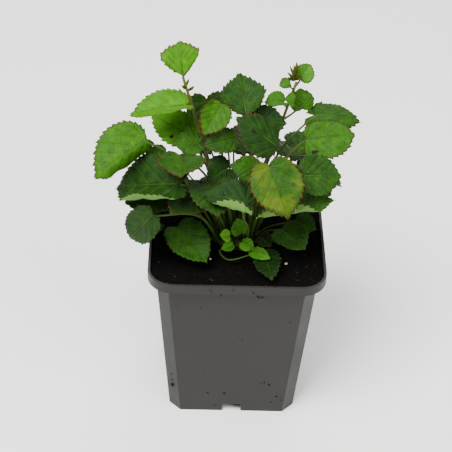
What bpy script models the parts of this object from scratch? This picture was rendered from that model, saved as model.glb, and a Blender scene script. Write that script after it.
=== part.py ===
"""Potted bellflower: a young leafy plant out of flower, in a square nursery pot.

Blender 4.5, metres, +Z up. The plant and the pot are set out in millimetres
from the middle of the pot's underside, then moved by POT_AXIS, so that the
object's own origin lies under the middle of its whole width and depth.
"""
import math
from dataclasses import dataclass

import bmesh
import bpy
from mathutils import Matrix, Vector

MM = 0.001
POT_AXIS = Vector((5.0, -1.7, 0.0)) * MM

# Pot, in mm
RIM_SIDE = 90.0
NECK_SIDE = 81.0
FOOT_SIDE = 67.0
POT_HEIGHT = 97.0
COLLAR_HEIGHT = 5.0
RIM_WALL = 1.3
BODY_WALL = 1.2
FOOT_WALL = 2.2
RIM_RADIUS = 13.0
CORNER_CHAMFER = 6.0
FLOOR_UNDERSIDE = 6.0
FLOOR_THICKNESS = 1.4
NOTCH_WIDTH = 10.0
NOTCH_HEIGHT = 5.2
DRAIN_RADIUS = 3.5
DRAIN_SPACING = 15.0
OVERLAP = 0.4
OVERCUT = 5.0

# Potting mix and root crown, in mm
GAP = 0.35
SOIL_TOP = 94.3
SOIL_STEP = 0.2
CROWN_CENTRE = Vector((0.0, -2.0, 92.6))
CROWN_RADII = Vector((12.5, 11.0, 4.6))
CROWN_RINGS = ((0.24, 5), (0.48, 10), (0.70, 15), (0.90, 18))
CROWN_CLEARANCE = 0.7
EVENING = 0.5

# Leaves, in mm and degrees
BLADE_THICKNESS = 0.6
BLADE_RINGS = 2
BLADE_SPOKES = 16
SPREAD_CENTRE = 0.3
PETIOLE_RADIUS = 0.6
PETIOLE_STEPS = 7
ROUTED_STEPS = 10
STALK_REACH = 1.5
STALK_DEPTH = 0.3
RISE_OUT = 0.3
RISE_UP = 0.8
STEM_RADIUS = 0.85
STEM_STEPS = 12
STEM_DROP = 4.0

# Bud, in mm and degrees
BUD_RADII = (1.5, 0.3)
BUD_LENGTH = 9.0
BUD_PLACE = (26.5, 24.8, 179.0)
BUD_LEAN = -12.0

# Half outlines as (along the midrib, across it), for a leaf 1 long and 2 wide
HEART = (
    (-0.02, 0.0), (-0.15, 0.13), (-0.20, 0.42), (-0.11, 0.76), (0.10, 0.97),
    (0.34, 1.0), (0.59, 0.84), (0.82, 0.46), (1.0, 0.0),
)
OVATE = (
    (0.0, 0.0), (0.03, 0.18), (0.09, 0.45), (0.20, 0.76), (0.36, 0.97),
    (0.54, 0.99), (0.73, 0.79), (0.89, 0.40), (1.0, 0.0),
)
SPADE = (
    (0.0, 0.0), (0.10, 0.18), (0.21, 0.44), (0.34, 0.76), (0.48, 0.97),
    (0.61, 0.95), (0.76, 0.62), (0.90, 0.24), (1.0, 0.0),
)
BLUNT = (
    (0.0, 0.0), (-0.03, 0.34), (0.02, 0.68), (0.15, 0.91), (0.38, 1.0),
    (0.60, 0.95), (0.80, 0.72), (0.94, 0.34), (1.0, 0.0),
)


@dataclass
class Stem:
    """A shoot's stem: its route in mm from the root crown to its top."""

    name: str
    route: tuple


@dataclass
class Leaf:
    """One leaf with its stalk.

    joint and tip are the two ends of the midrib, facing the azimuth and
    elevation that the upper side looks to, arch the turn of the midrib down
    its length, and left and right the turn of each half up from the midrib,
    half of it a crease at the midrib. heart is 1 for a heart-shaped outline and
    0 for the one that shape gives. A leaf grows from the root crown, or from
    the stem that root names, by way of its via points.
    """

    name: str
    joint: tuple
    tip: tuple
    facing: tuple
    width: float
    arch: float = 20.0
    left: float = 6.0
    right: float = 6.0
    heart: float = 1.0
    root: str = "crown"
    via: tuple = ()
    shape: tuple = OVATE


STEMS = (
    Stem("stem_left", ((-9.5, -1, 96.2), (-13, 2, 128), (-21, 1, 160), (-29, 0, 189.4))),
    Stem("stem_right", ((5, 6, 97), (13, 14, 125), (22, 21, 155), (28, 25, 172))),
)

LEAVES = (
    # The tall shoot on the left and the leaves around it
    Leaf("leaf_flag", (-29, 0, 190), (-31, 13, 202), (-95, 15), 19.5, 40, 22, 22, 0.0,
         root="stem_left", shape=SPADE),
    Leaf("leaf_left_high", (-27.5, 0, 174.5), (-53.5, -5, 171), (-100, 66), 18, 15, 45, 0, 0.6,
         root="stem_left"),
    Leaf("leaf_left_far", (-46.5, -10, 160.5), (-70, -24, 147), (-100, 50), 29, 25, -125, 5, 0.5,
         via=((-34, -9, 148),)),
    Leaf("leaf_left_upper", (-24, 4, 153), (-44.5, 12, 159.5), (-100, 45), 18, 20, 10, 10, 0.7,
         via=((-16, 6, 132),)),
    Leaf("leaf_left_broad", (-30, -26, 145.5), (-61, -12, 132), (-90, 55), 32, 25, 20, 0, 0.6,
         shape=BLUNT),
    Leaf("leaf_left_heart", (-29, -21, 158), (-29, -36, 157), (-90, 62), 22, 10, 4, 4),
    Leaf("leaf_left_grey", (-21.5, -5, 155), (-33, -7, 156), (-90, 60), 13, 15),
    Leaf("leaf_left_small", (-39, -4, 147), (-47, -1, 146), (-90, 60), 10, 15),
    Leaf("leaf_left_under", (-38, -17, 131), (-56, -15, 125), (-100, 50), 16),
    Leaf("leaf_left_skirt", (-21, -20, 132.5), (-33, -38, 138), (-90, 70), 22),
    Leaf("leaf_left_hanging", (-42.5, -32, 131), (-54, -26, 111), (-105, 30), 17, 20, 6, 6, 0.7,
         via=((-20, -18, 120),), shape=BLUNT),
    # The top of the mound
    Leaf("leaf_top_cleft", (-17, 20, 164), (-14, 8, 150.5), (-90, 45), 22, 20, 10, 10),
    Leaf("leaf_top_pale", (-10, 4, 173), (-18.5, -9, 163), (-60, 50), 15, 20, 20, 20, 0.3),
    Leaf("leaf_top_upright", (2.5, 4, 165.5), (-1.5, 24, 177.5), (-90, 50), 22, 25, 10, 10, 0.2,
         shape=SPADE),
    Leaf("leaf_top_dark", (7, 10, 159), (22.5, 11, 157.5), (-80, 50), 16),
    Leaf("leaf_top_holed", (18, -4, 153.5), (-2, -3, 169), (-80, 45), 22, 20, 6, -50, 0.3),
    Leaf("leaf_centre_oval", (-2.5, -4, 158), (-18, -10, 157), (-90, 45), 13, 20, 10, 10, 0.3),
    # The right shoot and the leaves around it
    Leaf("leaf_shoot_right_1", (29.8, 27, 174), (34.5, 31.5, 179.5), (-80, 40), 10, 20, 10, 10, 0.6,
         root="stem_right", shape=BLUNT),
    Leaf("leaf_shoot_right_2", (24.6, 23, 173.6), (18.8, 21.5, 173), (-90, 70), 7, 20, 20, 20, 0.2,
         root="stem_right"),
    Leaf("leaf_shoot_right_3", (21.5, 21, 164), (12, 18, 165), (-90, 60), 11, 20, 50, 5, 0.8,
         root="stem_right"),
    Leaf("leaf_shoot_right_4", (26.5, 18.5, 166), (22, 17, 168.5), (-90, 50), 7.5, 20, 10, 10, 0.6,
         root="stem_right"),
    Leaf("leaf_right_pale", (31.6, 25.5, 157), (30, 31, 165.5), (-95, 45), 12.5, 20, 15, -20, 0.4,
         root="stem_right", shape=BLUNT),
    Leaf("leaf_right_high", (37.5, 21, 156.5), (60, 18.5, 154.5), (-90, 65), 20, 40, -40, -25),
    Leaf("leaf_right_light", (32.5, 4, 153), (56, 4, 156), (-80, 48), 23, 25, -55, 5, 0.1, shape=BLUNT),
    Leaf("leaf_right_mid", (30.5, -16, 145), (49, -14, 143.5), (-70, 45), 20, 20, 6, 6, 0.4,
         via=((10, -2, 120), (20, -3, 138)), shape=BLUNT),
    Leaf("leaf_right_dark", (30, -8, 134), (46, -9, 129), (-60, 40), 18),
    Leaf("leaf_right_rolled", (12, -20, 128), (45.5, -20, 133.5), (-90, 70), 28, 15, 0, 25, 0.7),
    # The front
    Leaf("leaf_front_big", (13.5, -25, 157), (23, -42, 139), (-80, 45), 25, 20, -8, -12, 0.6),
    Leaf("leaf_front_lobe", (7, -19, 149.5), (-5, -18, 151.5), (-90, 45), 12.5, 15),
    Leaf("leaf_front_rolled", (2.5, -37, 143), (-17.5, -34, 146.5), (-90, 65), 21, 15, 30, 0,
         via=((5, -18, 112), (2, -29, 128))),
    Leaf("leaf_front_skirt", (-13, -22, 142), (-11, -42, 139), (-90, 60), 24, 25),
    Leaf("leaf_front_inner", (-6, -8.5, 142), (-14, -16.5, 138.5), (-90, 50), 14),
    # Close to the potting mix
    Leaf("leaf_soil_left", (-30.5, -14, 110), (-16, -32, 102.5), (-90, 65), 20, 15, 6, 6, 0.8,
         via=((-18, -10, 104),), shape=BLUNT),
    Leaf("leaf_soil_right", (22.5, -12, 108), (33.5, -24, 106), (-80, 70), 18, 15, 6, 6, 0.8,
         shape=BLUNT),
    Leaf("leaf_soil_edge", (31, -2, 106), (40, -6, 104.5), (-80, 60), 12, 15),
    Leaf("leaf_soil_dark", (12.5, -11, 102), (17, -17, 101), (-90, 60), 9, 15),
    Leaf("leaf_soil_front", (14, -22, 99.5), (17, -40, 98), (-90, 60), 13, 15, via=((9, -16, 97),)),
    Leaf("leaf_young_1", (1.5, -13, 106.5), (-0.5, -11, 113.5), (-90, 40), 9, 15),
    Leaf("leaf_young_2", (-4.5, -15.5, 106), (-9, -17.5, 108), (-90, 50), 6.5, 15),
    Leaf("leaf_young_3", (3, -17, 103), (8, -20, 101), (-90, 50), 7, 15),
    Leaf("leaf_young_4", (-3, -18, 102), (-8, -20, 101), (-90, 60), 5.5, 15),
    Leaf("leaf_runner", (8, -23, 102), (16, -28, 102), (-90, 70), 7, 15,
         via=((-9, -18, 98), (-4, -25, 98))),
    # The back and the inside of the mound
    Leaf("leaf_back_1", (-30, 18, 122), (-50, 30, 112), (150, 60), 26, 25),
    Leaf("leaf_back_2", (-14, 26, 130), (-22, 48, 118), (110, 60), 28, 25),
    Leaf("leaf_back_3", (4, 28, 128), (3, 50, 116), (90, 60), 25, 25),
    Leaf("leaf_back_4", (27, 26, 128), (37, 44, 118), (60, 60), 24, 25),
    Leaf("leaf_back_5", (36, 14, 124), (54, 22, 114), (20, 60), 24, 25),
    Leaf("leaf_back_6", (-20, 15.5, 140), (-32, 29, 138), (120, 80), 22, 25),
    Leaf("leaf_back_7", (3, 10, 144), (0, 27, 145), (90, 85), 18, 25),
    Leaf("leaf_back_8", (7, 23, 141), (8, 40, 133), (90, 75), 20, 25),
    Leaf("leaf_back_9", (30, 16, 140), (44, 28, 134), (40, 75), 22, 25),
    Leaf("leaf_back_low_1", (-30, 10, 106), (-44, 18, 102), (150, 75), 20),
    Leaf("leaf_back_low_2", (-8, 26, 106), (-14, 42, 102), (100, 75), 20),
    Leaf("leaf_back_low_3", (24, 18, 106), (36, 32, 102), (50, 75), 20),
)

MATERIALS = {
    "pot_plastic": ((0.13, 0.13, 0.125), 0.5),
    "peat": ((0.018, 0.013, 0.010), 0.95),
    "crown": ((0.10, 0.11, 0.035), 0.8),
    "stem": ((0.20, 0.17, 0.05), 0.6),
    "leaf": ((0.07, 0.22, 0.03), 0.55),
    "leaf_young": ((0.16, 0.40, 0.05), 0.5),
    "bud": ((0.12, 0.05, 0.03), 0.7),
}


def clear_scene():
    """Remove every object that the file opened with."""
    for found in list(bpy.data.objects):
        bpy.data.objects.remove(found, do_unlink=True)


def new_collection(name):
    """Make a collection under the scene."""
    made = bpy.data.collections.new(name)
    bpy.context.scene.collection.children.link(made)
    return made


def add_material(node, kind):
    """Give a node a Principled material of its own."""
    colour, roughness = MATERIALS[kind]
    material = bpy.data.materials.new(f"{node.name}_{kind}")
    material.use_nodes = True
    shader = material.node_tree.nodes["Principled BSDF"]
    shader.inputs["Base Color"].default_value = (*colour, 1.0)
    shader.inputs["Roughness"].default_value = roughness
    shader.inputs["Metallic"].default_value = 0.0
    node.data.materials.append(material)


def object_from(bm, name, collection):
    """Turn a bmesh in mm into an object standing on the pot's axis."""
    bmesh.ops.recalc_face_normals(bm, faces=bm.faces)
    mesh = bpy.data.meshes.new(name)
    bmesh.ops.scale(bm, vec=(MM, MM, MM), verts=bm.verts)
    bm.to_mesh(mesh)
    bm.free()
    made = bpy.data.objects.new(name, mesh)
    made.location = POT_AXIS
    collection.objects.link(made)
    return made


def make_cutter(tool):
    """Hide an object that only cuts or joins another."""
    tool.hide_render = True
    tool.display_type = "WIRE"


def boolean(node, tool, operation):
    """Add a Boolean modifier to a node."""
    modifier = node.modifiers.new(f"{operation.lower()}_{tool.name}", "BOOLEAN")
    modifier.operation = operation
    modifier.solver = "EXACT"
    modifier.object = tool
    make_cutter(tool)


# ---------------------------------------------------------------- pot and soil


def tapered_box(name, collection, bottom, top, low, high, corner, segments):
    """A box whose side runs from bottom to top, with its upright edges bevelled."""
    bm = bmesh.new()
    bmesh.ops.create_cube(bm, size=1.0)
    for vert in bm.verts:
        side, level = (top, high) if vert.co.z > 0 else (bottom, low)
        vert.co = Vector((vert.co.x * side, vert.co.y * side, level))
    upright = [e for e in bm.edges if abs(e.verts[0].co.z - e.verts[1].co.z) > 0.5 * (high - low)]
    bmesh.ops.bevel(
        bm, geom=upright, offset=corner, offset_type="OFFSET", segments=segments,
        profile=0.5, affect="EDGES",
    )
    return object_from(bm, name, collection)


def side_at(level):
    """Outer side of the pot's body at a height."""
    share = level / (POT_HEIGHT - COLLAR_HEIGHT)
    return FOOT_SIDE + (NECK_SIDE - FOOT_SIDE) * share


def build_pot(parts, cutters):
    """The pot: a tapered body with a stepped collar, a raised floor and open notches."""
    ledge = POT_HEIGHT - COLLAR_HEIGHT
    floor_top = FLOOR_UNDERSIDE + FLOOR_THICKNESS
    top = ledge + OVERLAP
    pot = tapered_box("pot", parts, FOOT_SIDE, side_at(top), 0, top, CORNER_CHAMFER, 1)
    collar = tapered_box("collar", cutters, RIM_SIDE, RIM_SIDE, ledge, POT_HEIGHT, RIM_RADIUS, 5)
    boolean(pot, collar, "UNION")
    inside = tapered_box(
        "inside", cutters, side_at(floor_top) - 2 * BODY_WALL, side_at(ledge + OVERCUT) - 2 * BODY_WALL,
        floor_top, ledge + OVERCUT, CORNER_CHAMFER - BODY_WALL / 2, 1,
    )
    boolean(pot, inside, "DIFFERENCE")
    mouth_side = RIM_SIDE - 2 * RIM_WALL
    mouth = tapered_box(
        "mouth", cutters, mouth_side, mouth_side, ledge + BODY_WALL, POT_HEIGHT + OVERCUT,
        RIM_RADIUS - RIM_WALL, 5,
    )
    boolean(pot, mouth, "DIFFERENCE")
    recess = tapered_box(
        "recess", cutters, side_at(-OVERCUT) - 2 * FOOT_WALL, side_at(FLOOR_UNDERSIDE) - 2 * FOOT_WALL,
        -OVERCUT, FLOOR_UNDERSIDE, CORNER_CHAMFER - FOOT_WALL / 2, 1,
    )
    boolean(pot, recess, "DIFFERENCE")
    through = 2 * FOOT_SIDE
    for name, size in (("notch_x", (through, NOTCH_WIDTH)), ("notch_y", (NOTCH_WIDTH, through))):
        bm = bmesh.new()
        bmesh.ops.create_cube(bm, size=1.0)
        bmesh.ops.scale(bm, vec=(*size, 2 * NOTCH_HEIGHT), verts=bm.verts)
        boolean(pot, object_from(bm, name, cutters), "DIFFERENCE")
    for index, (across, along) in enumerate(((0, 0), (1, 1), (1, -1), (-1, 1), (-1, -1))):
        bm = bmesh.new()
        bmesh.ops.create_cone(
            bm, cap_ends=True, segments=16, radius1=DRAIN_RADIUS, radius2=DRAIN_RADIUS,
            depth=2 * OVERCUT,
        )
        place = Vector((across * DRAIN_SPACING, along * DRAIN_SPACING, floor_top))
        bmesh.ops.translate(bm, vec=place, verts=bm.verts)
        boolean(pot, object_from(bm, f"drain_{index + 1}", cutters), "DIFFERENCE")
    add_material(pot, "pot_plastic")


def ellipsoid(name, collection, grow):
    """The root crown's flattened ball, grown by a distance."""
    bm = bmesh.new()
    bmesh.ops.create_uvsphere(bm, u_segments=20, v_segments=10, radius=1.0)
    bmesh.ops.scale(bm, vec=CROWN_RADII + Vector((grow, grow, grow)), verts=bm.verts)
    bmesh.ops.translate(bm, vec=CROWN_CENTRE, verts=bm.verts)
    return object_from(bm, name, collection)


def build_soil(parts, cutters):
    """The potting mix, filling the pot up to the collar, and the root crown set in it."""
    ledge = POT_HEIGHT - COLLAR_HEIGHT
    low = FLOOR_UNDERSIDE + FLOOR_THICKNESS + GAP
    inset = 2 * (BODY_WALL + GAP)
    top = SOIL_TOP - SOIL_STEP
    soil = tapered_box(
        "potting_mix", parts, side_at(low) - inset, side_at(top) - inset, low, top,
        CORNER_CHAMFER - BODY_WALL / 2, 1,
    )
    spread = tapered_box(
        "soil_top", cutters, RIM_SIDE - 2 * (RIM_WALL + GAP), RIM_SIDE - 2 * (RIM_WALL + GAP),
        ledge + BODY_WALL + GAP, SOIL_TOP, RIM_RADIUS - RIM_WALL - GAP, 5,
    )
    boolean(soil, spread, "UNION")
    boolean(soil, ellipsoid("crown_seat", cutters, GAP), "DIFFERENCE")
    add_material(soil, "peat")
    add_material(ellipsoid("root_crown", parts, 0.0), "crown")


# ------------------------------------------------------------ stems and leaves


def smooth_route(points, count):
    """Evenly parted points on a Catmull-Rom curve through the given ones."""
    ends = [Vector(p) for p in points]
    ends = [2 * ends[0] - ends[1], *ends, 2 * ends[-1] - ends[-2]]
    spans = len(ends) - 3
    route = []
    for step in range(count):
        place = spans * step / (count - 1)
        first = min(int(place), spans - 1)
        t = place - first
        a, b, c, d = ends[first:first + 4]
        bend = (2 * a - 5 * b + 4 * c - d) * t * t + (3 * b - a - 3 * c + d) * t ** 3
        route.append(0.5 * (2 * b + (c - a) * t + bend))
    return route


def tube(name, collection, route, radius):
    """A round tube along a route, as a mesh with its caps welded on."""
    curve = bpy.data.curves.new(name, "CURVE")
    curve.dimensions = "3D"
    curve.bevel_depth = radius * MM
    curve.bevel_resolution = 1
    curve.use_fill_caps = True
    spline = curve.splines.new("POLY")
    spline.points.add(len(route) - 1)
    for point, place in zip(spline.points, route):
        point.co = (*(place * MM), 1.0)
    source = bpy.data.objects.new(f"{name}_curve", curve)
    collection.objects.link(source)
    bpy.context.view_layer.update()
    evaluated = source.evaluated_get(bpy.context.evaluated_depsgraph_get())
    mesh = bpy.data.meshes.new_from_object(evaluated)
    bm = bmesh.new()
    bm.from_mesh(mesh)
    bmesh.ops.remove_doubles(bm, verts=bm.verts, dist=0.01 * MM)
    bmesh.ops.recalc_face_normals(bm, faces=bm.faces)
    bm.to_mesh(mesh)
    bm.free()
    made = bpy.data.objects.new(name, mesh)
    made.matrix_world = source.matrix_world
    made.location = POT_AXIS
    collection.objects.link(made)
    bpy.data.objects.remove(source, do_unlink=True)
    mesh.materials.clear()
    return made


def outline(share, leaf):
    """A point of a leaf's outline, from its base round by the left side."""
    half = [Vector(h) * leaf.heart + Vector(s) * (1 - leaf.heart) for h, s in zip(HEART, leaf.shape)]
    half = [2 * half[0] - half[1], *half, 2 * half[-1] - half[-2]]
    spans = len(half) - 3
    way = 2 * share if share <= 0.5 else 2 * (1 - share)
    place = spans * way
    first = min(int(place), spans - 1)
    t = place - first
    a, b, c, d = half[first:first + 4]
    bend = (2 * a - 5 * b + 4 * c - d) * t * t + (3 * b - a - 3 * c + d) * t ** 3
    point = 0.5 * (2 * b + (c - a) * t + bend)
    return Vector((point.x, point.y if share <= 0.5 else -point.y))


def leaf_axes(leaf):
    """Along, across and up directions of a leaf, and the length from its joint to its tip."""
    joint = Vector(leaf.joint)
    chord = Vector(leaf.tip) - joint
    along = chord.normalized()
    azimuth, elevation = (math.radians(angle) for angle in leaf.facing)
    flat = math.cos(elevation)
    up = Vector((math.cos(azimuth) * flat, math.sin(azimuth) * flat, math.sin(elevation)))
    up = (up - along * up.dot(along)).normalized()
    return along, up.cross(along), up, chord.length


def place_on_leaf(leaf, x, y):
    """Where a point x along and y across the flat leaf lies once the leaf is bent."""
    along, across, up, chord = leaf_axes(leaf)
    arch = math.radians(leaf.arch)
    radius = chord / (2 * math.sin(arch / 2))
    turn = arch * (x / (radius * arch) - 0.5)
    rise = math.cos(turn) - math.cos(arch / 2)
    reach = math.sin(turn) + math.sin(arch / 2)
    spine = Vector(leaf.joint) + along * radius * reach + up * radius * rise
    normal = up * math.cos(turn) + along * math.sin(turn)
    crease = math.radians(leaf.left if y > 0 else leaf.right) / 2
    if abs(crease) < 1e-3:
        return spine + across * y
    bend = leaf.width / 2 / crease
    angle = crease + abs(y) / bend
    sideways = bend * (math.sin(angle) - math.sin(crease))
    lift = bend * (math.cos(crease) - math.cos(angle))
    return spine + across * math.copysign(sideways, y) + normal * lift


def blade(leaf, collection):
    """A leaf's blade: a disc of rings and spokes laid on the bent leaf, then thickened."""
    chord = leaf_axes(leaf)[3]
    arch = math.radians(leaf.arch)
    length = chord * arch / (2 * math.sin(arch / 2))
    bm = bmesh.new()
    bmesh.ops.create_grid(bm, x_segments=BLADE_RINGS, y_segments=BLADE_SPOKES, size=0.5)
    for vert in bm.verts:
        edge = outline(vert.co.y + 0.5, leaf)
        reach = vert.co.x + 0.5
        x = (SPREAD_CENTRE + (edge.x - SPREAD_CENTRE) * reach) * length
        y = edge.y * reach * leaf.width / 2
        vert.co = place_on_leaf(leaf, x, y)
    bmesh.ops.remove_doubles(bm, verts=bm.verts, dist=0.01)
    made = object_from(bm, leaf.name, collection)
    modifier = made.modifiers.new("thickness", "SOLIDIFY")
    modifier.thickness = BLADE_THICKNESS * MM
    modifier.offset = 0.0
    return made


def heading(leaf):
    """The compass angle that a leaf's stalk sets out at, seen from the crown's middle."""
    aim = leaf.via[0] if leaf.via else leaf.joint
    offset = Vector(aim[:2]) - CROWN_CENTRE.xy
    return math.atan2(offset.y, offset.x)


def lean(leaf):
    """How far out a leaf's joint lies for each mm that it stands above the crown."""
    offset = Vector(leaf.joint) - CROWN_CENTRE
    return offset.xy.length / offset.z


def crown_starts(leaves):
    """Where each stalk leaves the root crown: steep stalks inside, spreading ones outside."""
    starts = {}
    waiting = sorted((leaf for leaf in leaves if leaf.root == "crown"), key=lean)
    for share, count in CROWN_RINGS:
        ring = sorted(waiting[:count], key=heading)
        waiting = waiting[count:]
        for rank, leaf in enumerate(ring):
            even = 2 * math.pi * (rank + 0.5) / len(ring) - math.pi
            angle = heading(leaf) + (even - heading(leaf)) * EVENING
            across = CROWN_RADII.x * share * math.cos(angle)
            along = CROWN_RADII.y * share * math.sin(angle)
            level = CROWN_RADII.z * math.sqrt(1 - share ** 2) + CROWN_CLEARANCE
            starts[leaf.name] = CROWN_CENTRE + Vector((across, along, level))
    return starts


def stalk_route(leaf, starts, stems):
    """The stalk's route, from the crown or a stem up to the underside of the blade."""
    up = leaf_axes(leaf)[2]
    end = place_on_leaf(leaf, STALK_REACH, 0) - up * STALK_DEPTH
    if leaf.root != "crown":
        stem = stems[leaf.root]
        wanted = leaf.joint[2] - STEM_DROP
        index = min(range(1, len(stem)), key=lambda k: abs(stem[k].z - wanted))
        grain = (stem[index] - stem[index - 1]).normalized()
        outward = end - stem[index]
        outward = (outward - grain * outward.dot(grain)).normalized()
        start = stem[index] + outward * (STEM_RADIUS + PETIOLE_RADIUS + GAP)
        return [start, start.lerp(end, 0.5), end]
    start = starts[leaf.name]
    if leaf.via:
        return smooth_route((start, *leaf.via, end), ROUTED_STEPS)
    way = end - start
    rise = start + Vector((way.x * RISE_OUT, way.y * RISE_OUT, way.z * RISE_UP))
    steps = [k / PETIOLE_STEPS for k in range(PETIOLE_STEPS + 1)]
    return [start.lerp(rise, s).lerp(rise.lerp(end, s), s) for s in steps]


def build_leaf(leaf, starts, stems, parts, cutters):
    """One leaf: its blade joined to its stalk."""
    node = blade(leaf, parts)
    stalk = tube(f"{leaf.name}_stalk", cutters, stalk_route(leaf, starts, stems), PETIOLE_RADIUS)
    boolean(node, stalk, "UNION")
    add_material(node, "leaf_young" if "young" in leaf.name or "shoot" in leaf.name else "leaf")


def build_bud(parts):
    """The tight bud at the top of the right shoot."""
    bm = bmesh.new()
    bmesh.ops.create_cone(
        bm, cap_ends=True, segments=8, radius1=BUD_RADII[0], radius2=BUD_RADII[1], depth=BUD_LENGTH
    )
    turn = Matrix.Translation(BUD_PLACE) @ Matrix.Rotation(math.radians(BUD_LEAN), 4, "Y")
    bmesh.ops.transform(bm, matrix=turn, verts=bm.verts)
    add_material(object_from(bm, "bud_right", parts), "bud")


def main():
    """Build the whole object."""
    clear_scene()
    parts = new_collection("potted_bellflower")
    cutters = new_collection("cutters")
    build_pot(parts, cutters)
    build_soil(parts, cutters)
    stems = {}
    for stem in STEMS:
        stems[stem.name] = smooth_route(stem.route, STEM_STEPS)
        add_material(tube(stem.name, parts, stems[stem.name], STEM_RADIUS), "stem")
    starts = crown_starts(LEAVES)
    for leaf in LEAVES:
        build_leaf(leaf, starts, stems, parts, cutters)
    build_bud(parts)
    bpy.context.view_layer.update()


main()
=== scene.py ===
"""Potted bellflower: the finish of every leaf, stem, crumb of peat and face of the pot.

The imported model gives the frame. Every piece here stands for one of its nodes
and grows in the same place, in metres, +Z up.
"""
import logging
import math
import random
from contextlib import contextmanager
from dataclasses import dataclass
from enum import Enum
from typing import Any, Callable, Iterable, Iterator, Sequence

import bmesh
import bpy
import numpy as np
from mathutils import Matrix, Vector, noise


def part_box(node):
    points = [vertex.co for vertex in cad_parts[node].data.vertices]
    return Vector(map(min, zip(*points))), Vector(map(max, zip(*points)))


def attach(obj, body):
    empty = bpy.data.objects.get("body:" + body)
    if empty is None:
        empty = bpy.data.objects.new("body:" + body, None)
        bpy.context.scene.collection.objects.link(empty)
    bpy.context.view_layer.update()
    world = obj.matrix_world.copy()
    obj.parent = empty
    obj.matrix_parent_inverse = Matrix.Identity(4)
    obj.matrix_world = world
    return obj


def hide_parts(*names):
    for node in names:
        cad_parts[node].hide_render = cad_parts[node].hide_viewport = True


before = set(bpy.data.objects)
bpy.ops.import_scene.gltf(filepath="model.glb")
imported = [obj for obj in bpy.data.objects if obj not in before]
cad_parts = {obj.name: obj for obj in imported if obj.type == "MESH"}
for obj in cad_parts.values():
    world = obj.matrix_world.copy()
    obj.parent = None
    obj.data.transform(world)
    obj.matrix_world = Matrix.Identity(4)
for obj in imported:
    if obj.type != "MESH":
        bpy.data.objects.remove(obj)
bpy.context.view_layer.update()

logging.basicConfig(level=logging.INFO, format="%(name)s: %(message)s")
log = logging.getLogger("bellflower")
Socket = bpy.types.NodeSocket

MM = 0.001
SHEET_MM = 100.0  # one unit of a leaf's own UV map is this many mm
POT_LOW, POT_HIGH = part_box("pot")
CROWN_CENTRE = Vector((0.0, -2.0, 92.6))  # mm about the pot's axis
CROWN_RADII = Vector((12.5, 11.0, 4.6))
POT_AXIS = Vector(((POT_LOW[0] + POT_HIGH[0]) / 2, (POT_LOW[1] + POT_HIGH[1]) / 2, POT_LOW[2]))


class Slot(Enum):
    """The record's material slots."""

    POT = "pot_plastic"
    PEAT = "potting_mix"
    CROWN = "root_crown"
    STEM = "stem"
    LEAF = "leaf"
    YOUNG = "young_leaf"
    BUD = "bud"


# ------------------------------------------------------------------ small tools


def linear(code: str) -> tuple[float, float, float, float]:
    """Turn an sRGB hex colour into linear RGBA.

    Args:
        code: the colour, such as "#4a7a28".

    Returns:
        Red, green, blue and a full alpha.
    """
    shares = (int(code[k:k + 2], 16) / 255 for k in (1, 3, 5))
    parts = [s / 12.92 if s <= 0.04045 else ((s + 0.055) / 1.055) ** 2.4 for s in shares]
    return (parts[0], parts[1], parts[2], 1.0)


def add_node(
    tree: bpy.types.NodeTree, kind: str, inputs: dict[Any, Any] | None = None, **settings: Any
) -> bpy.types.Node:
    """Add a shader node with its settings, values and links.

    Args:
        tree: the node tree to add it to.
        kind: the node's type name.
        inputs: for each input socket, by name or number, a value or the output to link to it.
        settings: the node's own properties.

    Returns:
        The new node.
    """
    node = tree.nodes.new(kind)
    for key, value in settings.items():
        setattr(node, key, value)
    for key, value in (inputs or {}).items():
        if isinstance(value, Socket):
            tree.links.new(value, node.inputs[key])
        else:
            node.inputs[key].default_value = value
    return node


def fresh_material(name: str) -> tuple[bpy.types.Material, bpy.types.NodeTree, bpy.types.Node]:
    """Make a material and hand back its tree and its Principled shader."""
    material = bpy.data.materials.new(name)
    material.use_nodes = True
    tree = material.node_tree
    return material, tree, tree.nodes["Principled BSDF"]


def deselect() -> None:
    """Leave edit mode and select nothing."""
    if bpy.context.object and bpy.context.object.mode != "OBJECT":
        bpy.ops.object.mode_set(mode="OBJECT")
    bpy.ops.object.select_all(action="DESELECT")


def make_active(piece: bpy.types.Object) -> None:
    """Select one object only and make it the active one."""
    deselect()
    piece.select_set(True)
    bpy.context.view_layer.objects.active = piece


def apply_modifiers(piece: bpy.types.Object) -> None:
    """Apply every modifier of a piece in order."""
    make_active(piece)
    for modifier in list(piece.modifiers):
        bpy.ops.object.modifier_apply(modifier=modifier.name)


def select_parts(piece: bpy.types.Object, kind: str, chosen: Iterable[int]) -> None:
    """Open a piece in edit mode with some of its parts selected.

    Args:
        piece: the piece.
        kind: VERT, EDGE or FACE.
        chosen: the numbers of the parts.
    """
    chosen = set(chosen)
    make_active(piece)
    bpy.ops.object.mode_set(mode="EDIT")
    bpy.ops.mesh.select_mode(type=kind)
    bpy.ops.mesh.select_all(action="DESELECT")
    bpy.ops.object.mode_set(mode="OBJECT")
    mesh = piece.data
    parts = {"VERT": mesh.vertices, "EDGE": mesh.edges, "FACE": mesh.polygons}[kind]
    for index in chosen:
        parts[index].select = True
    bpy.ops.object.mode_set(mode="EDIT")


def bevel_edges(piece: bpy.types.Object, edges: Iterable[int], reach: float, steps: int) -> None:
    """Bevel some of a piece's edges, by a reach in mm and in a number of steps."""
    select_parts(piece, "EDGE", edges)
    bpy.ops.mesh.bevel(offset=reach * MM, segments=steps, profile=0.5, affect="EDGES")
    bpy.ops.object.mode_set(mode="OBJECT")


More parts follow.
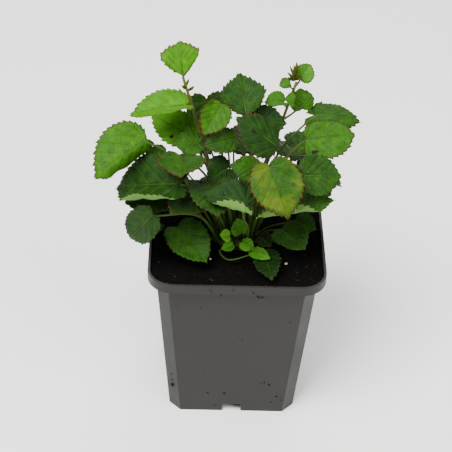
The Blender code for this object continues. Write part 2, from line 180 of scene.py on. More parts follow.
@contextmanager
def editing(piece: bpy.types.Object, kind: str = "VERT") -> Iterator[None]:
    """Edit a piece's mesh, at first with all of it selected, as VERT or EDGE."""
    make_active(piece)
    bpy.ops.object.mode_set(mode="EDIT")
    bpy.ops.mesh.select_mode(type=kind)
    bpy.ops.mesh.select_all(action="SELECT")
    yield
    bpy.ops.object.mode_set(mode="OBJECT")


def dress(piece: bpy.types.Object, material: bpy.types.Material) -> None:
    """Give a piece one material and no other."""
    piece.data.materials.clear()
    piece.data.materials.append(material)


def settle(piece: bpy.types.Object) -> None:
    """Put a piece's place, turn and scale into its mesh."""
    make_active(piece)
    bpy.ops.object.transform_apply(location=True, rotation=True, scale=True)


def join(pieces: Sequence[bpy.types.Object], name: str) -> bpy.types.Object:
    """Join several objects into the first one and name it."""
    make_active(pieces[0])
    for piece in pieces[1:]:
        piece.select_set(True)
    if len(pieces) > 1:
        bpy.ops.object.join()
    pieces[0].name = name
    pieces[0].data.name = name
    return pieces[0]


def hand_over(piece: bpy.types.Object, slot: Slot, *nodes: str) -> None:
    """Ride a finished piece on the object's body, in place of its CAD nodes."""
    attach(piece, "root")
    if nodes:
        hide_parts(*nodes)
    log.info("%s: %d faces", piece.name, len(piece.data.polygons))


def store(mesh: bpy.types.Mesh, name: str, values: np.ndarray) -> None:
    """Keep a number, or a vector of three, at every point of a mesh."""
    kind = "FLOAT_VECTOR" if values.ndim == 2 else "FLOAT"
    layer = mesh.attributes.new(name, kind, "POINT")
    layer.data.foreach_set("vector" if values.ndim == 2 else "value", values.astype(np.float32).ravel())


def smoothstep(values: np.ndarray, low: float, high: float) -> np.ndarray:
    """A soft step from 0 at low to 1 at high."""
    share = np.clip((values - low) / (high - low), 0, 1)
    return share * share * (3 - 2 * share)


def ripple_field(points: np.ndarray, size: float, seed: float) -> np.ndarray:
    """Smooth noise from -1 to 1 at each point, with lumps of the given size."""
    return np.array([noise.noise(Vector(p) / size + Vector((seed, 2 * seed, 3 * seed))) for p in points])


def smooth_curve(points: Sequence[Sequence[float]], count: int) -> np.ndarray:
    """Read evenly parted points from a Catmull-Rom curve.

    Args:
        points: what the curve passes through, in two or three numbers each.
        count: how many points to read, both ends included.

    Returns:
        One row for each point.
    """
    given = np.array(points, float)
    given = np.vstack([2 * given[0] - given[1], given, 2 * given[-1] - given[-2]])
    place = np.linspace(0, len(given) - 3, count)
    first = np.minimum(place.astype(int), len(given) - 4)
    t = (place - first)[:, None]
    a, b, c, d = (given[first + k] for k in range(4))
    slope, bow, twist = c - a, 2 * a - 5 * b + 4 * c - d, 3 * b - a - 3 * c + d
    return 0.5 * (2 * b + slope * t + bow * t**2 + twist * t**3)


def summed(values: np.ndarray, step: float) -> np.ndarray:
    """The running integral, from 0, of values that are a step apart."""
    return np.concatenate([[0], np.cumsum((values[1:] + values[:-1]) / 2 * step)])


def tube(
    name: str, route: np.ndarray, radii: np.ndarray, material: bpy.types.Material, sides: int = 2
) -> bpy.types.Object:
    """A round tube with closed ends along a route in mm about the pot's axis.

    Args:
        name: the object's name.
        route: its centre line, one row for each point.
        radii: its radius at each point, in mm.
        material: its finish.
        sides: the curve's bevel resolution.

    Returns:
        The tube as a mesh at the origin.
    """
    deselect()
    bpy.ops.curve.primitive_bezier_curve_add()
    piece = bpy.context.object
    piece.location = (0, 0, 0)
    curve = piece.data
    curve.dimensions = "3D"
    curve.splines.clear()
    curve.bevel_depth = MM
    curve.bevel_resolution = sides
    curve.use_fill_caps = True
    spline = curve.splines.new("POLY")
    spline.points.add(len(route) - 1)
    for point, place, radius in zip(spline.points, route, radii):
        point.co = (*(Vector(place) * MM + POT_AXIS), 1.0)
        point.radius = radius
    make_active(piece)
    bpy.ops.object.convert(target="MESH")
    piece = bpy.context.object
    with editing(piece):
        bpy.ops.mesh.remove_doubles(threshold=0.01 * MM)
        bpy.ops.mesh.normals_make_consistent(inside=False)
    bpy.ops.object.shade_smooth()
    dress(piece, material)
    piece.name = name
    return piece


# -------------------------------------------------------------------- finishes


@dataclass(frozen=True)
class Graph:
    """A material's node tree, with the place its patterns lie in and that place's units.

    unit is how many mm make one unit of the place, so that every pattern's
    size is given in mm.
    """

    material: bpy.types.Material
    tree: bpy.types.NodeTree
    shader: bpy.types.Node
    place: Socket
    unit: float

    @classmethod
    def on_skin(cls, name: str) -> "Graph":
        """A material whose patterns lie on the flat leaf, in the blade's own UV map."""
        material, tree, shader = fresh_material(name)
        plane = add_node(tree, "ShaderNodeUVMap", uv_map="leaf_plane").outputs["UV"]
        return cls(material, tree, shader, plane, SHEET_MM)

    @classmethod
    def in_space(cls, name: str) -> "Graph":
        """A material whose patterns fill the space that the object stands in."""
        material, tree, shader = fresh_material(name)
        place = add_node(tree, "ShaderNodeTexCoord").outputs["Object"]
        return cls(material, tree, shader, place, 1 / MM)

    def read(self, *names: str) -> dict[str, Socket]:
        """Read attributes of the mesh by name."""
        return {
            name: add_node(self.tree, "ShaderNodeAttribute", attribute_name=name).outputs["Fac"]
            for name in names
        }

    def noise(self, size: float, detail: float = 2.0, roughness: float = 0.5) -> Socket:
        """Soft noise from 0 to 1 with lumps of a size in mm."""
        inputs = {
            "Vector": self.place, "Scale": self.unit / size, "Detail": detail, "Roughness": roughness
        }
        return add_node(self.tree, "ShaderNodeTexNoise", inputs).outputs["Fac"]

    def cells(self, size: float, randomness: float = 1.0, feature: str = "F1") -> Socket:
        """The distance to the middle, or to the edge, of cells of a size in mm."""
        inputs = {"Vector": self.place, "Scale": self.unit / size, "Randomness": randomness}
        return add_node(self.tree, "ShaderNodeTexVoronoi", inputs, feature=feature).outputs["Distance"]

    def spread(
        self, value: Socket, low: float, high: float, first: Any = 0.0, last: Any = 1.0, soft: bool = False
    ) -> Socket:
        """Map a value's range from low to high onto first to last, and hold it at both ends.

        Args:
            value: what to map.
            low: where the value's range starts.
            high: where it ends, as a number or an output.
            first: the result at the start.
            last: the result at the end.
            soft: whether the result eases in and out.

        Returns:
            The mapped value.
        """
        kind = "SMOOTHSTEP" if soft else "LINEAR"
        inputs = {0: value, 1: low, 2: high, 3: first, 4: last}
        return add_node(self.tree, "ShaderNodeMapRange", inputs, interpolation_type=kind).outputs[0]

    def math(self, operation: str, first: Any, second: Any, clamp: bool = False) -> Socket:
        """Work out one sum."""
        inputs = {0: first, 1: second}
        node = add_node(self.tree, "ShaderNodeMath", inputs, operation=operation, use_clamp=clamp)
        return node.outputs[0]

    def blend(self, share: Any, first: Any, second: Any) -> Socket:
        """Mix two colours, each a hex code or an output, by a share."""
        first, second = (linear(c) if isinstance(c, str) else c for c in (first, second))
        mix = add_node(self.tree, "ShaderNodeMix", {0: share, 6: first, 7: second}, data_type="RGBA")
        return mix.outputs[2]

    def colour(self, colour: Socket) -> None:
        """Make this the base colour."""
        self.tree.links.new(colour, self.shader.inputs["Base Color"])

    def dent(self, height: Socket, strength: float, depth: float) -> None:
        """Bump the surface by a height, over a depth in mm."""
        inputs = {"Strength": strength, "Distance": depth * MM, "Height": height}
        bump = add_node(self.tree, "ShaderNodeBump", inputs)
        self.tree.links.new(bump.outputs["Normal"], self.shader.inputs["Normal"])

    def gloss(self, pattern: Socket, low: float, high: float) -> None:
        """Let the roughness follow a pattern."""
        self.tree.links.new(self.spread(pattern, 0.3, 0.7, low, high), self.shader.inputs["Roughness"])

    def fix(self, **values: Any) -> None:
        """Set inputs of the shader, with their names' spaces written as underscores."""
        for key, value in values.items():
            self.shader.inputs[key.replace("_", " ")].default_value = value


@dataclass(frozen=True)
class BladeFinish:
    """A living bellflower leaf: a waxy green skin over sunk veins, with a toothed red-brown edge.

    The green varies from leaf to leaf and over each leaf. The margin and a few
    spots turn red-brown, and the underside is paler, with the veins standing out.
    """

    name: str
    deep: str
    fresh: str
    vein: str
    under: str
    blush: str = "#3a180c"
    ochre: str = "#646e0c"
    # near black for the dark marks: debris, and on leaf_top_holed painted shade where the leaf has a hole
    debris_and_hole_shade: str = "#120d08"
    roughness: float = 0.48
    network_mm: float = 1.6
    mottle_mm: float = 5.0
    patch_mm: float = 13.0
    freckle_mm: float = 6.5
    crumble_mm: float = 1.6

    def upper(self) -> bpy.types.Material:
        """The upper side: green by tone and mottling, darker between the smallest veins, satin."""
        graph = Graph.on_skin(f"{self.name}_upper")
        read = graph.read("rank", "rib", "margin", "tone", "blush", "ochre", "spots")
        mottle = graph.noise(self.mottle_mm, 4.0, 0.6)
        wander = graph.spread(mottle, 0.25, 0.75, -0.2, 0.2)
        share = graph.math("POWER", graph.math("ADD", read["tone"], wander, clamp=True), 2.0)
        colour = graph.blend(share, self.deep, self.fresh)
        veins = self.veins(graph, read)
        network = graph.cells(self.network_mm, 0.9, "DISTANCE_TO_EDGE")
        cells = graph.spread(network, 0.0, 0.16)
        colour = graph.blend(graph.spread(cells, 0.0, 1.0, 0.22, 0.0), colour, self.deep)
        colour = graph.blend(graph.math("MULTIPLY", veins, 0.14), colour, self.vein)
        worn = graph.spread(graph.noise(self.patch_mm), 0.48, 0.66)
        colour = graph.blend(graph.math("MULTIPLY", worn, read["ochre"]), colour, self.ochre)
        colour = graph.blend(self.edge(graph, mottle, read), colour, self.blush)
        colour = graph.blend(self.freckles(graph, read["spots"]), colour, self.blush)
        # The dark mark: debris, and on leaf_top_holed painted shade standing in for its hole.
        graph.colour(graph.blend(self.dark_mark_and_hole_shade(graph), colour, self.debris_and_hole_shade))
        puff = graph.math("MULTIPLY", cells, 0.35)
        graph.dent(graph.math("SUBTRACT", puff, veins), 0.55, 0.5)
        graph.gloss(mottle, self.roughness - 0.08, self.roughness + 0.12)
        return self.skin(graph)

    def lower(self) -> bpy.types.Material:
        """The underside: paler and duller, with the veins raised."""
        graph = Graph.on_skin(f"{self.name}_under")
        read = graph.read("rank", "rib", "margin", "blush", "tone")
        mottle = graph.noise(self.mottle_mm, 4.0)
        colour = graph.blend(graph.spread(mottle, 0.3, 0.7, 0.05, 0.4), self.under, self.fresh)
        veins = self.veins(graph, read)
        colour = graph.blend(graph.math("MULTIPLY", veins, 0.4), colour, self.vein)
        graph.colour(graph.blend(self.edge(graph, mottle, read), colour, self.blush))
        graph.dent(veins, 0.6, 0.4)
        graph.fix(Roughness=self.roughness + 0.2)
        return self.skin(graph)

    @staticmethod
    def veins(graph: Graph, read: dict[str, Socket]) -> Socket:
        """1 along the midrib and the side veins and 0 between them."""
        side = graph.spread(graph.math("PINGPONG", read["rank"], 0.5), 0.015, 0.08, 1.0, 0.0, soft=True)
        middle = graph.spread(read["rib"], 0.12, 0.55, 1.0, 0.0, soft=True)
        return graph.math("MAXIMUM", side, middle)

    @staticmethod
    def edge(graph: Graph, mottle: Socket, read: dict[str, Socket]) -> Socket:
        """How red-brown the margin is: strongest on the teeth, broken up by the mottling."""
        reach = graph.spread(mottle, 0.35, 0.65, 0.35, 1.6)
        near = graph.spread(read["margin"], 0.0, reach, 1.0, 0.0, soft=True)
        return graph.math("MULTIPLY", near, read["blush"], clamp=True)

    def freckles(self, graph: Graph, amount: Socket) -> Socket:
        """Small round red-brown spots, a few to a leaf."""
        dot = graph.spread(graph.cells(self.freckle_mm), 0.07, 0.15, 0.85, 0.0, soft=True)
        return graph.math("MULTIPLY", dot, amount)

    def dark_mark_and_hole_shade(self, graph: Graph) -> Socket:
        """One ragged dark mark on a leaf, at its own place (x, y) and of its own radius (z): dark debris
        on some leaves, and on leaf_top_holed painted shade standing in for a hole through the leaf.
        """
        tree = graph.tree
        spot = add_node(tree, "ShaderNodeAttribute", attribute_name="mark").outputs["Vector"]
        radius = add_node(tree, "ShaderNodeSeparateXYZ", {0: spot}).outputs["Z"]
        flat = {0: spot, 1: (1, 1, 0)}
        flat = add_node(tree, "ShaderNodeVectorMath", flat, operation="MULTIPLY").outputs[0]
        away = add_node(tree, "ShaderNodeVectorMath", {0: graph.place, 1: flat}, operation="DISTANCE")
        wander = 1.2 / SHEET_MM
        ragged = graph.spread(graph.noise(self.crumble_mm, 3.0), 0.3, 0.7, -wander, wander)
        away = graph.math("ADD", away.outputs["Value"], ragged)
        return graph.spread(graph.math("SUBTRACT", radius, away), 0.0, 0.35 / SHEET_MM)

    @staticmethod
    def skin(graph: Graph) -> bpy.types.Material:
        """Add the cuticle's faint shine and the light that comes through the blade."""
        graph.fix(
            IOR=1.42, Specular_IOR_Level=0.14, Subsurface_Weight=0.08,
            Subsurface_Radius=(0.4, 1.0, 0.15), Subsurface_Scale=0.6 * MM,
        )
        return graph.material


@dataclass(frozen=True)
class StalkFinish:
    """A herbaceous stalk: green, flushed red-brown along its length, with a fine down."""

    name: str
    green: str
    flush: str
    flushed: float

    def material(self) -> bpy.types.Material:
        """The stalk's material: dull from its down, and a little translucent."""
        graph = Graph.in_space(self.name)
        share = graph.spread(graph.noise(9.0, 3.0), 0.35, 0.65, self.flushed - 0.3, self.flushed + 0.3)
        graph.colour(graph.blend(share, self.green, self.flush))
        graph.dent(graph.noise(0.5), 0.4, 0.15)
        graph.fix(
            Roughness=0.6, Specular_IOR_Level=0.2, Sheen_Weight=0.03, Subsurface_Weight=0.1,
            Subsurface_Scale=0.5 * MM,
        )
        return graph.material


@dataclass(frozen=True)
class PlasticFinish:
    """Injection-moulded recycled polypropylene: mid grey, satin, with cloudy patches of a paler grey that
    is painted reflection, and dusted with peat.
    """

    name: str = "moulded_grey_polypropylene"
    grey: str = "#21201f"
    # the paler grey the chamfers show where they catch the light, used as a colour: painted reflection
    painted_reflection_grey: str = "#2c2b29"
    dust: str = "#1e120a"
    roughness: float = 0.46

    def material(self) -> bpy.types.Material:
        """The pot's material: cloudy grey with dots of dried peat and a fine mould texture."""
        graph = Graph.in_space(self.name)
        cloud = graph.noise(22.0, 5.0)
        # Painted reflection: the chamfers' paler grey, where they catch the light, mixed in as cloudy
        # patches over the whole pot.
        colour = graph.blend(graph.spread(cloud, 0.35, 0.7, 0.0, 0.28), self.grey, self.painted_reflection_grey)
        size = graph.spread(graph.noise(9.0), 0.5, 0.66, 0.0, 0.27)
        inside = graph.math("SUBTRACT", size, graph.cells(3.2))
        graph.colour(graph.blend(graph.spread(inside, 0.0, 0.05, 0.0, 0.8), colour, self.dust))
        graph.gloss(cloud, self.roughness - 0.06, self.roughness + 0.1)
        graph.dent(graph.noise(0.7, 3.0), 0.12, 0.1)
        graph.fix(IOR=1.49, Specular_IOR_Level=0.22)
        return graph.material


@dataclass(frozen=True)
class GrainFinish:
    """Moist peat and what is mixed into it: dull, rough, and different from grain to grain."""

    name: str
    dark: str
    light: str
    grain_mm: float
    roughness: float = 0.9

    def material(self) -> bpy.types.Material:
        """The grains' material. Their own tone attribute moves the colour from dark to light."""
        graph = Graph.in_space(self.name)
        crumb = graph.noise(self.grain_mm, 6.0, 0.7)
        wander = graph.spread(crumb, 0.3, 0.75, -0.3, 0.4)
        share = graph.math("ADD", graph.read("tone")["tone"], wander, clamp=True)
        graph.colour(graph.blend(share, self.dark, self.light))
        graph.dent(crumb, 0.8, 0.5)
        graph.fix(Roughness=self.roughness, Specular_IOR_Level=0.08)
        return graph.material


# ---------------------------------------------------------------------- leaves


# Half outlines as (along the midrib, across it), for a leaf 1 long and 2 wide
HEART = (
    (-0.02, 0.0), (-0.15, 0.13), (-0.20, 0.42), (-0.11, 0.76), (0.10, 0.97),
    (0.34, 1.0), (0.59, 0.84), (0.82, 0.46), (1.0, 0.0),
)
TOOTH = ((0.0, 0.0), (0.22, 0.34), (0.44, 0.66), (0.62, 0.95), (0.74, 1.0), (0.88, 0.38))


class Outline(Enum):
    """What a leaf's base and sides are, as half outlines that its heart share is mixed with."""

    OVATE = (
        (0.0, 0.0), (0.03, 0.18), (0.09, 0.45), (0.20, 0.76), (0.36, 0.97),
        (0.54, 0.99), (0.73, 0.79), (0.89, 0.40), (1.0, 0.0),
    )
    SPADE = (
        (0.0, 0.0), (0.10, 0.18), (0.21, 0.44), (0.34, 0.76), (0.48, 0.97),
        (0.61, 0.95), (0.76, 0.62), (0.90, 0.24), (1.0, 0.0),
    )
    BLUNT = (
        (0.0, 0.0), (-0.03, 0.34), (0.02, 0.68), (0.15, 0.91), (0.38, 1.0),
        (0.60, 0.95), (0.80, 0.72), (0.94, 0.34), (1.0, 0.0),
    )


@dataclass(frozen=True)
class Leaf:
    """One leaf with its stalk, in mm and degrees about the pot's axis.

    joint and tip are the ends of the midrib, facing the azimuth and elevation
    that the upper side looks to, arch the turn of the midrib down its length,
    left and right the turn of each half up from the midrib, fold a crease along
    the midrib, and roll_left and roll_right an extra turn of each margin. tone
    runs from 0, deep green, to 1, fresh green. blush, ochre and spots are how
    far the margin has reddened, the blade has yellowed and the skin is spotted.
    mark is the place and radius of one dark mark on the flat leaf.
    """

    name: str
    joint: tuple[float, float, float]
    tip: tuple[float, float, float]
    facing: tuple[float, float]
    width: float
    arch: float = 20.0
    left: float = 6.0
    right: float = 6.0
    heart: float = 1.0
    root: str = "crown"
    via: tuple = ()
    shape: Outline = Outline.OVATE
    fold: float = 8.0
    roll_left: float = 0.0
    roll_right: float = 0.0
    ripple: float = 0.7
    tone: float = 0.4
    blush: float = 0.5
    ochre: float = 0.0
    spots: float = 0.0
    mark: tuple[float, float, float] = (0.0, 0.0, 0.0)
    teeth_mm: float = 2.7
    tooth_depth: float = 1.15

    def axes(self) -> tuple[np.ndarray, np.ndarray, np.ndarray, float]:
        """Along, across and up directions, and the length from the joint to the tip."""
        chord = np.array(self.tip, float) - np.array(self.joint, float)
        reach = float(np.linalg.norm(chord))
        along = chord / reach
        azimuth, elevation = (math.radians(a) for a in self.facing)
        flat = math.cos(elevation)
        up = np.array([math.cos(azimuth) * flat, math.sin(azimuth) * flat, math.sin(elevation)])
        up = up - along * up.dot(along)
        up = up / np.linalg.norm(up)
        return along, np.cross(up, along), up, reach

    def length(self) -> float:
        """The midrib's length along its arch."""
        arch = math.radians(self.arch)
        return self.axes()[3] * arch / (2 * math.sin(arch / 2))

    def bend(self, flat: np.ndarray, height: np.ndarray) -> np.ndarray:
        """Lay points of the flat leaf on the bent one.

        Args:
            flat: distances along and across the leaf, one row for each point.
            height: each point's height above the skin.

        Returns:
            Their places in mm about the pot's axis.
        """
        along, across, up, chord = self.axes()
        arch = math.radians(self.arch)
        radius = chord / (2 * math.sin(arch / 2))
        turn = (flat[:, 0] / radius - arch / 2)[:, None]
        spine = np.array(self.joint, float) + along * radius * (np.sin(turn) + math.sin(arch / 2))
        spine = spine + up * radius * (np.cos(turn) - math.cos(arch / 2))
        normal = up * np.cos(turn) + along * np.sin(turn)
        half = self.width / 2
        run = np.linspace(0, 1.5 * half, 80)
        placed = np.zeros((len(flat), 3))
        for side, cup, roll in ((1, self.left, self.roll_left), (-1, self.right, self.roll_right)):
            crease = math.radians(self.fold + cup / 2) * (1 - np.exp(-run / 1.2))
            angle = crease + math.radians(cup / 2) * run / half
            angle = angle + math.radians(roll) * smoothstep(run / half, 0.35, 1.0)
            out, rise = (summed(part, run[1] - run[0]) for part in (np.cos(angle), np.sin(angle)))
            mine = flat[:, 1] > 0 if side > 0 else flat[:, 1] <= 0
            far = np.abs(flat[mine, 1])
            tilt = np.interp(far, run, angle)
            sideways = np.interp(far, run, out) - height[mine] * np.sin(tilt)
            lifted = np.interp(far, run, rise) + height[mine] * np.cos(tilt)
            placed[mine] = spine[mine] + across * side * sideways[:, None]
            placed[mine] += normal[mine] * lifted[:, None]
        return placed


@dataclass(frozen=True)
class LeafMaker:
    """Grows leaves: a toothed blade with sunk veins and a thin edge, on a tapering stalk.

    Lengths are in mm. vein_spread is how many side veins' spacings go into a
    leaf's length, and hub how far along it the spokes of its grid meet.
    """

    upper: bpy.types.Material
    under: bpy.types.Material
    stalk: bpy.types.Material
    rings: int = 13
    skin_mm: float = 0.32
    groove_mm: float = 0.34
    midrib_mm: float = 0.8
    unevenness_mm: float = 9.0
    look_ahead: float = 0.4
    stalk_mm: float = 0.62
    rib_mm: tuple[float, float] = (0.42, 0.12)
    rib_share: tuple[float, float] = (0.06, 0.62)
    rib_steps: int = 6
    hub: float = 0.03
    vein_spread: float = 4.6

    def outline(self, leaf: Leaf, rng: random.Random) -> tuple[np.ndarray, np.ndarray]:
        """The leaf's edge, and how far each point of it stands out as a tooth.

        Args:
            leaf: the leaf.
            rng: the leaf's own seeded chance.

        Returns:
            The smooth edge and the teeth's offsets, from the base round by the left side.
        """
        length = leaf.length()
        shape = leaf.heart * np.array(HEART) + (1 - leaf.heart) * np.array(leaf.shape.value)
        fine = smooth_curve(shape, 240) * [length, leaf.width / 2]
        run = np.concatenate([[0], np.cumsum(np.linalg.norm(np.diff(fine, axis=0), axis=1))])
        count = max(5, round(run[-1] / leaf.teeth_mm))
        edges, teeth = [], []
        for side in (1, -1):
            sizes = [(0.72 + 0.5 * rng.random()) * (1.0 if k % 2 else 0.7) for k in range(count)]
            place = np.array([(k + t) / count for k in range(count) for t, _ in TOOTH]) * run[-1]
            crest = np.array([sizes[k] * f for k in range(count) for _, f in TOOTH])
            edge, ahead = (
                np.column_stack([np.interp(place + step, run, fine[:, k]) for k in (0, 1)])
                for step in (0.0, self.look_ahead)
            )
            way = ahead - edge
            way[np.linalg.norm(way, axis=1) < 1e-6] = (0.0, -1.0)
            way = way / np.linalg.norm(way, axis=1)[:, None]
            outward = np.stack([-way[:, 1], way[:, 0]], axis=1)
            depth = leaf.tooth_depth * min(1.0, length / 22) * smoothstep(place, 1.0, 6.0) * crest
            offset = (outward * 0.95 + way * 0.55) * depth[:, None]
            if side < 0:
                edge, offset = edge[::-1] * [1, -1], offset[::-1] * [1, -1]
                edge = np.vstack([[length, 0.0], edge[:-1]])
                offset = np.vstack([[0.06 * length, 0.0], offset[:-1]])
            edges.append(edge)
            teeth.append(offset)
        return np.vstack(edges), np.vstack(teeth)

    @staticmethod
    def vein_rank(flat: np.ndarray, spacing: float) -> np.ndarray:
        """Count the side veins: a whole number on each, in order from the base to the tip."""
        x, y = flat[:, 0], np.abs(flat[:, 1])
        swept = (x - 0.95 * y - 0.012 * y * y) / spacing
        angle = np.arctan2(y, x + 0.012 * y * y)
        fan = (math.atan(1 / 0.95) - angle) / math.radians(34)
        return np.where(swept > 0, swept, fan)

    def blade(self, leaf: Leaf, seed: int) -> bpy.types.Object:
        """The leaf's blade, from a flat grid wrapped round the joint, toothed, bent and thickened.

        Args:
            leaf: the leaf.
            seed: what makes its chance its own.

        Returns:
            The blade at its place.
        """
        rng = random.Random(seed)
        edge, teeth = self.outline(leaf, rng)
        spokes = len(edge)
        deselect()
        bpy.ops.mesh.primitive_grid_add(x_subdivisions=self.rings, y_subdivisions=spokes, size=1.0)
        piece = bpy.context.object
        mesh = piece.data
        corner = np.empty(3 * len(mesh.vertices))
        mesh.vertices.foreach_get("co", corner)
        corner = corner.reshape(-1, 3)
        ring = np.rint((corner[:, 0] + 0.5) * self.rings) / self.rings
        spoke = np.rint((corner[:, 1] + 0.5) * spokes).astype(int) % spokes
        length = leaf.length()
        centre = np.array([self.hub * length, 0.0])
        reach = ring**0.9
        flat = centre + (edge[spoke] - centre) * reach[:, None] + teeth[spoke] * (reach**7)[:, None]
        rim = np.linalg.norm(edge[spoke] + teeth[spoke] - centre, axis=1)
        margin = rim * (1 - reach) * 0.9
        rank = self.vein_rank(flat, length / self.vein_spread)
        height = self.relief(leaf, flat, rank, reach, seed)
        place = leaf.bend(flat, height) * MM + np.array(POT_AXIS)
        mesh.vertices.foreach_set("co", place.ravel())
        values = {"rank": rank, "rib": np.abs(flat[:, 1]), "margin": margin}
        for key in ("tone", "blush", "ochre", "spots"):
            values[key] = np.full(len(flat), getattr(leaf, key))
        values["mark"] = np.tile(np.array(leaf.mark, float) / SHEET_MM, (len(flat), 1))
        for key, number in values.items():
            store(mesh, key, number)
        self.lay_plane(mesh, flat)
        self.thicken(piece, leaf)
        return piece

    def relief(
        self, leaf: Leaf, flat: np.ndarray, rank: np.ndarray, reach: np.ndarray, seed: int
    ) -> np.ndarray:
        """Heights over the smooth leaf: sunk veins, lifted cells, a wavy margin and unevenness.

        Args:
            leaf: the leaf.
            flat: the grid's points on the flat leaf.
            rank: their places between the side veins.
            reach: how far out they lie, from 0 at the hub to 1 at the margin.
            seed: what makes its waves its own.

        Returns:
            One height in mm for each point.
        """
        size = min(1.0, leaf.width / 20)
        near = np.abs(rank - np.rint(rank))
        groove = np.exp(-((near / 0.16) ** 2)) * smoothstep(reach, 0.05, 0.3)
        groove = np.maximum(groove, np.exp(-((flat[:, 1] / self.midrib_mm) ** 2)))
        fade = 1 - 0.6 * smoothstep(reach, 0.75, 1.0)
        way = np.arctan2(flat[:, 1], flat[:, 0])
        wave = np.sin(way * 5 + seed) + 0.6 * np.sin(way * 9 - 2 * seed)
        spots = np.column_stack([flat, np.full(len(flat), seed)])
        slow = ripple_field(spots, self.unevenness_mm, 0.37 * seed)
        height = -self.groove_mm * size * groove * fade
        height = height + leaf.ripple * size * wave * reach**3 * 0.6
        return height + 1.3 * size * slow * smoothstep(reach, 0.1, 0.9)

    @staticmethod
    def lay_plane(mesh: bpy.types.Mesh, flat: np.ndarray) -> None:
        """Write the flat leaf as the mesh's UV map, so that every pattern follows the skin."""
        layer = mesh.uv_layers[0]
        layer.name = "leaf_plane"
        corners = np.empty(len(mesh.loops), dtype=int)
        mesh.loops.foreach_get("vertex_index", corners)
        layer.data.foreach_set("uv", (flat[corners] / SHEET_MM).ravel())

    def thicken(self, piece: bpy.types.Object, leaf: Leaf) -> None:
        """Merge the grid's seam, face it upwards and give the skin its thickness."""
        with editing(piece):
            bpy.ops.mesh.remove_doubles(threshold=0.004 * MM)
        mesh = piece.data
        facing = sum((p.normal * p.area for p in mesh.polygons), Vector())
        if facing.dot(Vector(leaf.axes()[2])) < 0:
            with editing(piece):
                bpy.ops.mesh.flip_normals()
        mesh.materials.append(self.upper)
        mesh.materials.append(self.under)
        modifier = piece.modifiers.new("skin", "SOLIDIFY")
        modifier.thickness = self.skin_mm * MM
        modifier.offset = -1.0
        modifier.material_offset = 1
        modifier.material_offset_rim = 0
        apply_modifiers(piece)
        bpy.ops.object.shade_smooth()

    def grow(self, leaf: Leaf, route: np.ndarray, seed: int) -> bpy.types.Object:
        """One whole leaf.

        Args:
            leaf: the leaf.
            route: its stalk's centre line, in mm about the pot's axis.
            seed: what makes its chance its own.

        Returns:
            The blade and the stalk as one piece.
        """
        blade = self.blade(leaf, seed)
        length = leaf.length()
        steps = self.rib_steps
        along = np.column_stack([np.linspace(*self.rib_share, steps) * length, np.zeros(steps)])
        rib = leaf.bend(along, np.full(steps, -self.skin_mm - self.rib_mm[1]))
        line = np.vstack([route[:-1], rib])
        size = min(1.0, 0.55 + 0.02 * leaf.width)
        thick = np.linspace(self.stalk_mm * 1.25, self.stalk_mm * 0.85, len(route) - 1)
        radii = np.concatenate([thick, np.linspace(*self.rib_mm, steps)]) * size
        stalk = tube("stalk", line, radii, self.stalk)
        return join([blade, stalk], f"{leaf.name}_grown")


@dataclass(frozen=True)
class Crown:
    """Where the stalks leave the root crown: steep ones inside, spreading ones outside."""

    rings: tuple[tuple[float, int], ...] = ((0.24, 5), (0.48, 10), (0.70, 15), (0.90, 18))
    evening: float = 0.5
    sunk: float = 0.6

    def heading(self, leaf: Leaf) -> float:
        """The compass angle that a leaf's stalk sets out at."""
        aim = leaf.via[0] if leaf.via else leaf.joint
        return math.atan2(aim[1] - CROWN_CENTRE.y, aim[0] - CROWN_CENTRE.x)

    def lean(self, leaf: Leaf) -> float:
        """How far out a leaf's joint lies for each mm that it stands above the crown."""
        offset = Vector(leaf.joint) - CROWN_CENTRE
        return offset.xy.length / offset.z

    def starts(self, leaves: Iterable[Leaf]) -> dict[str, Vector]:
        """Where each stalk starts, a little inside the crown's skin."""
        found = {}
        waiting = sorted((leaf for leaf in leaves if leaf.root == "crown"), key=self.lean)
        for share, count in self.rings:
            ring = sorted(waiting[:count], key=self.heading)
            waiting = waiting[count:]
            for rank, leaf in enumerate(ring):
                even = 2 * math.pi * (rank + 0.5) / len(ring) - math.pi
                angle = self.heading(leaf) + (even - self.heading(leaf)) * self.evening
                across = CROWN_RADII.x * share * math.cos(angle)
                along = CROWN_RADII.y * share * math.sin(angle)
                level = CROWN_RADII.z * math.sqrt(1 - share**2) - self.sunk
                found[leaf.name] = CROWN_CENTRE + Vector((across, along, level))
        return found


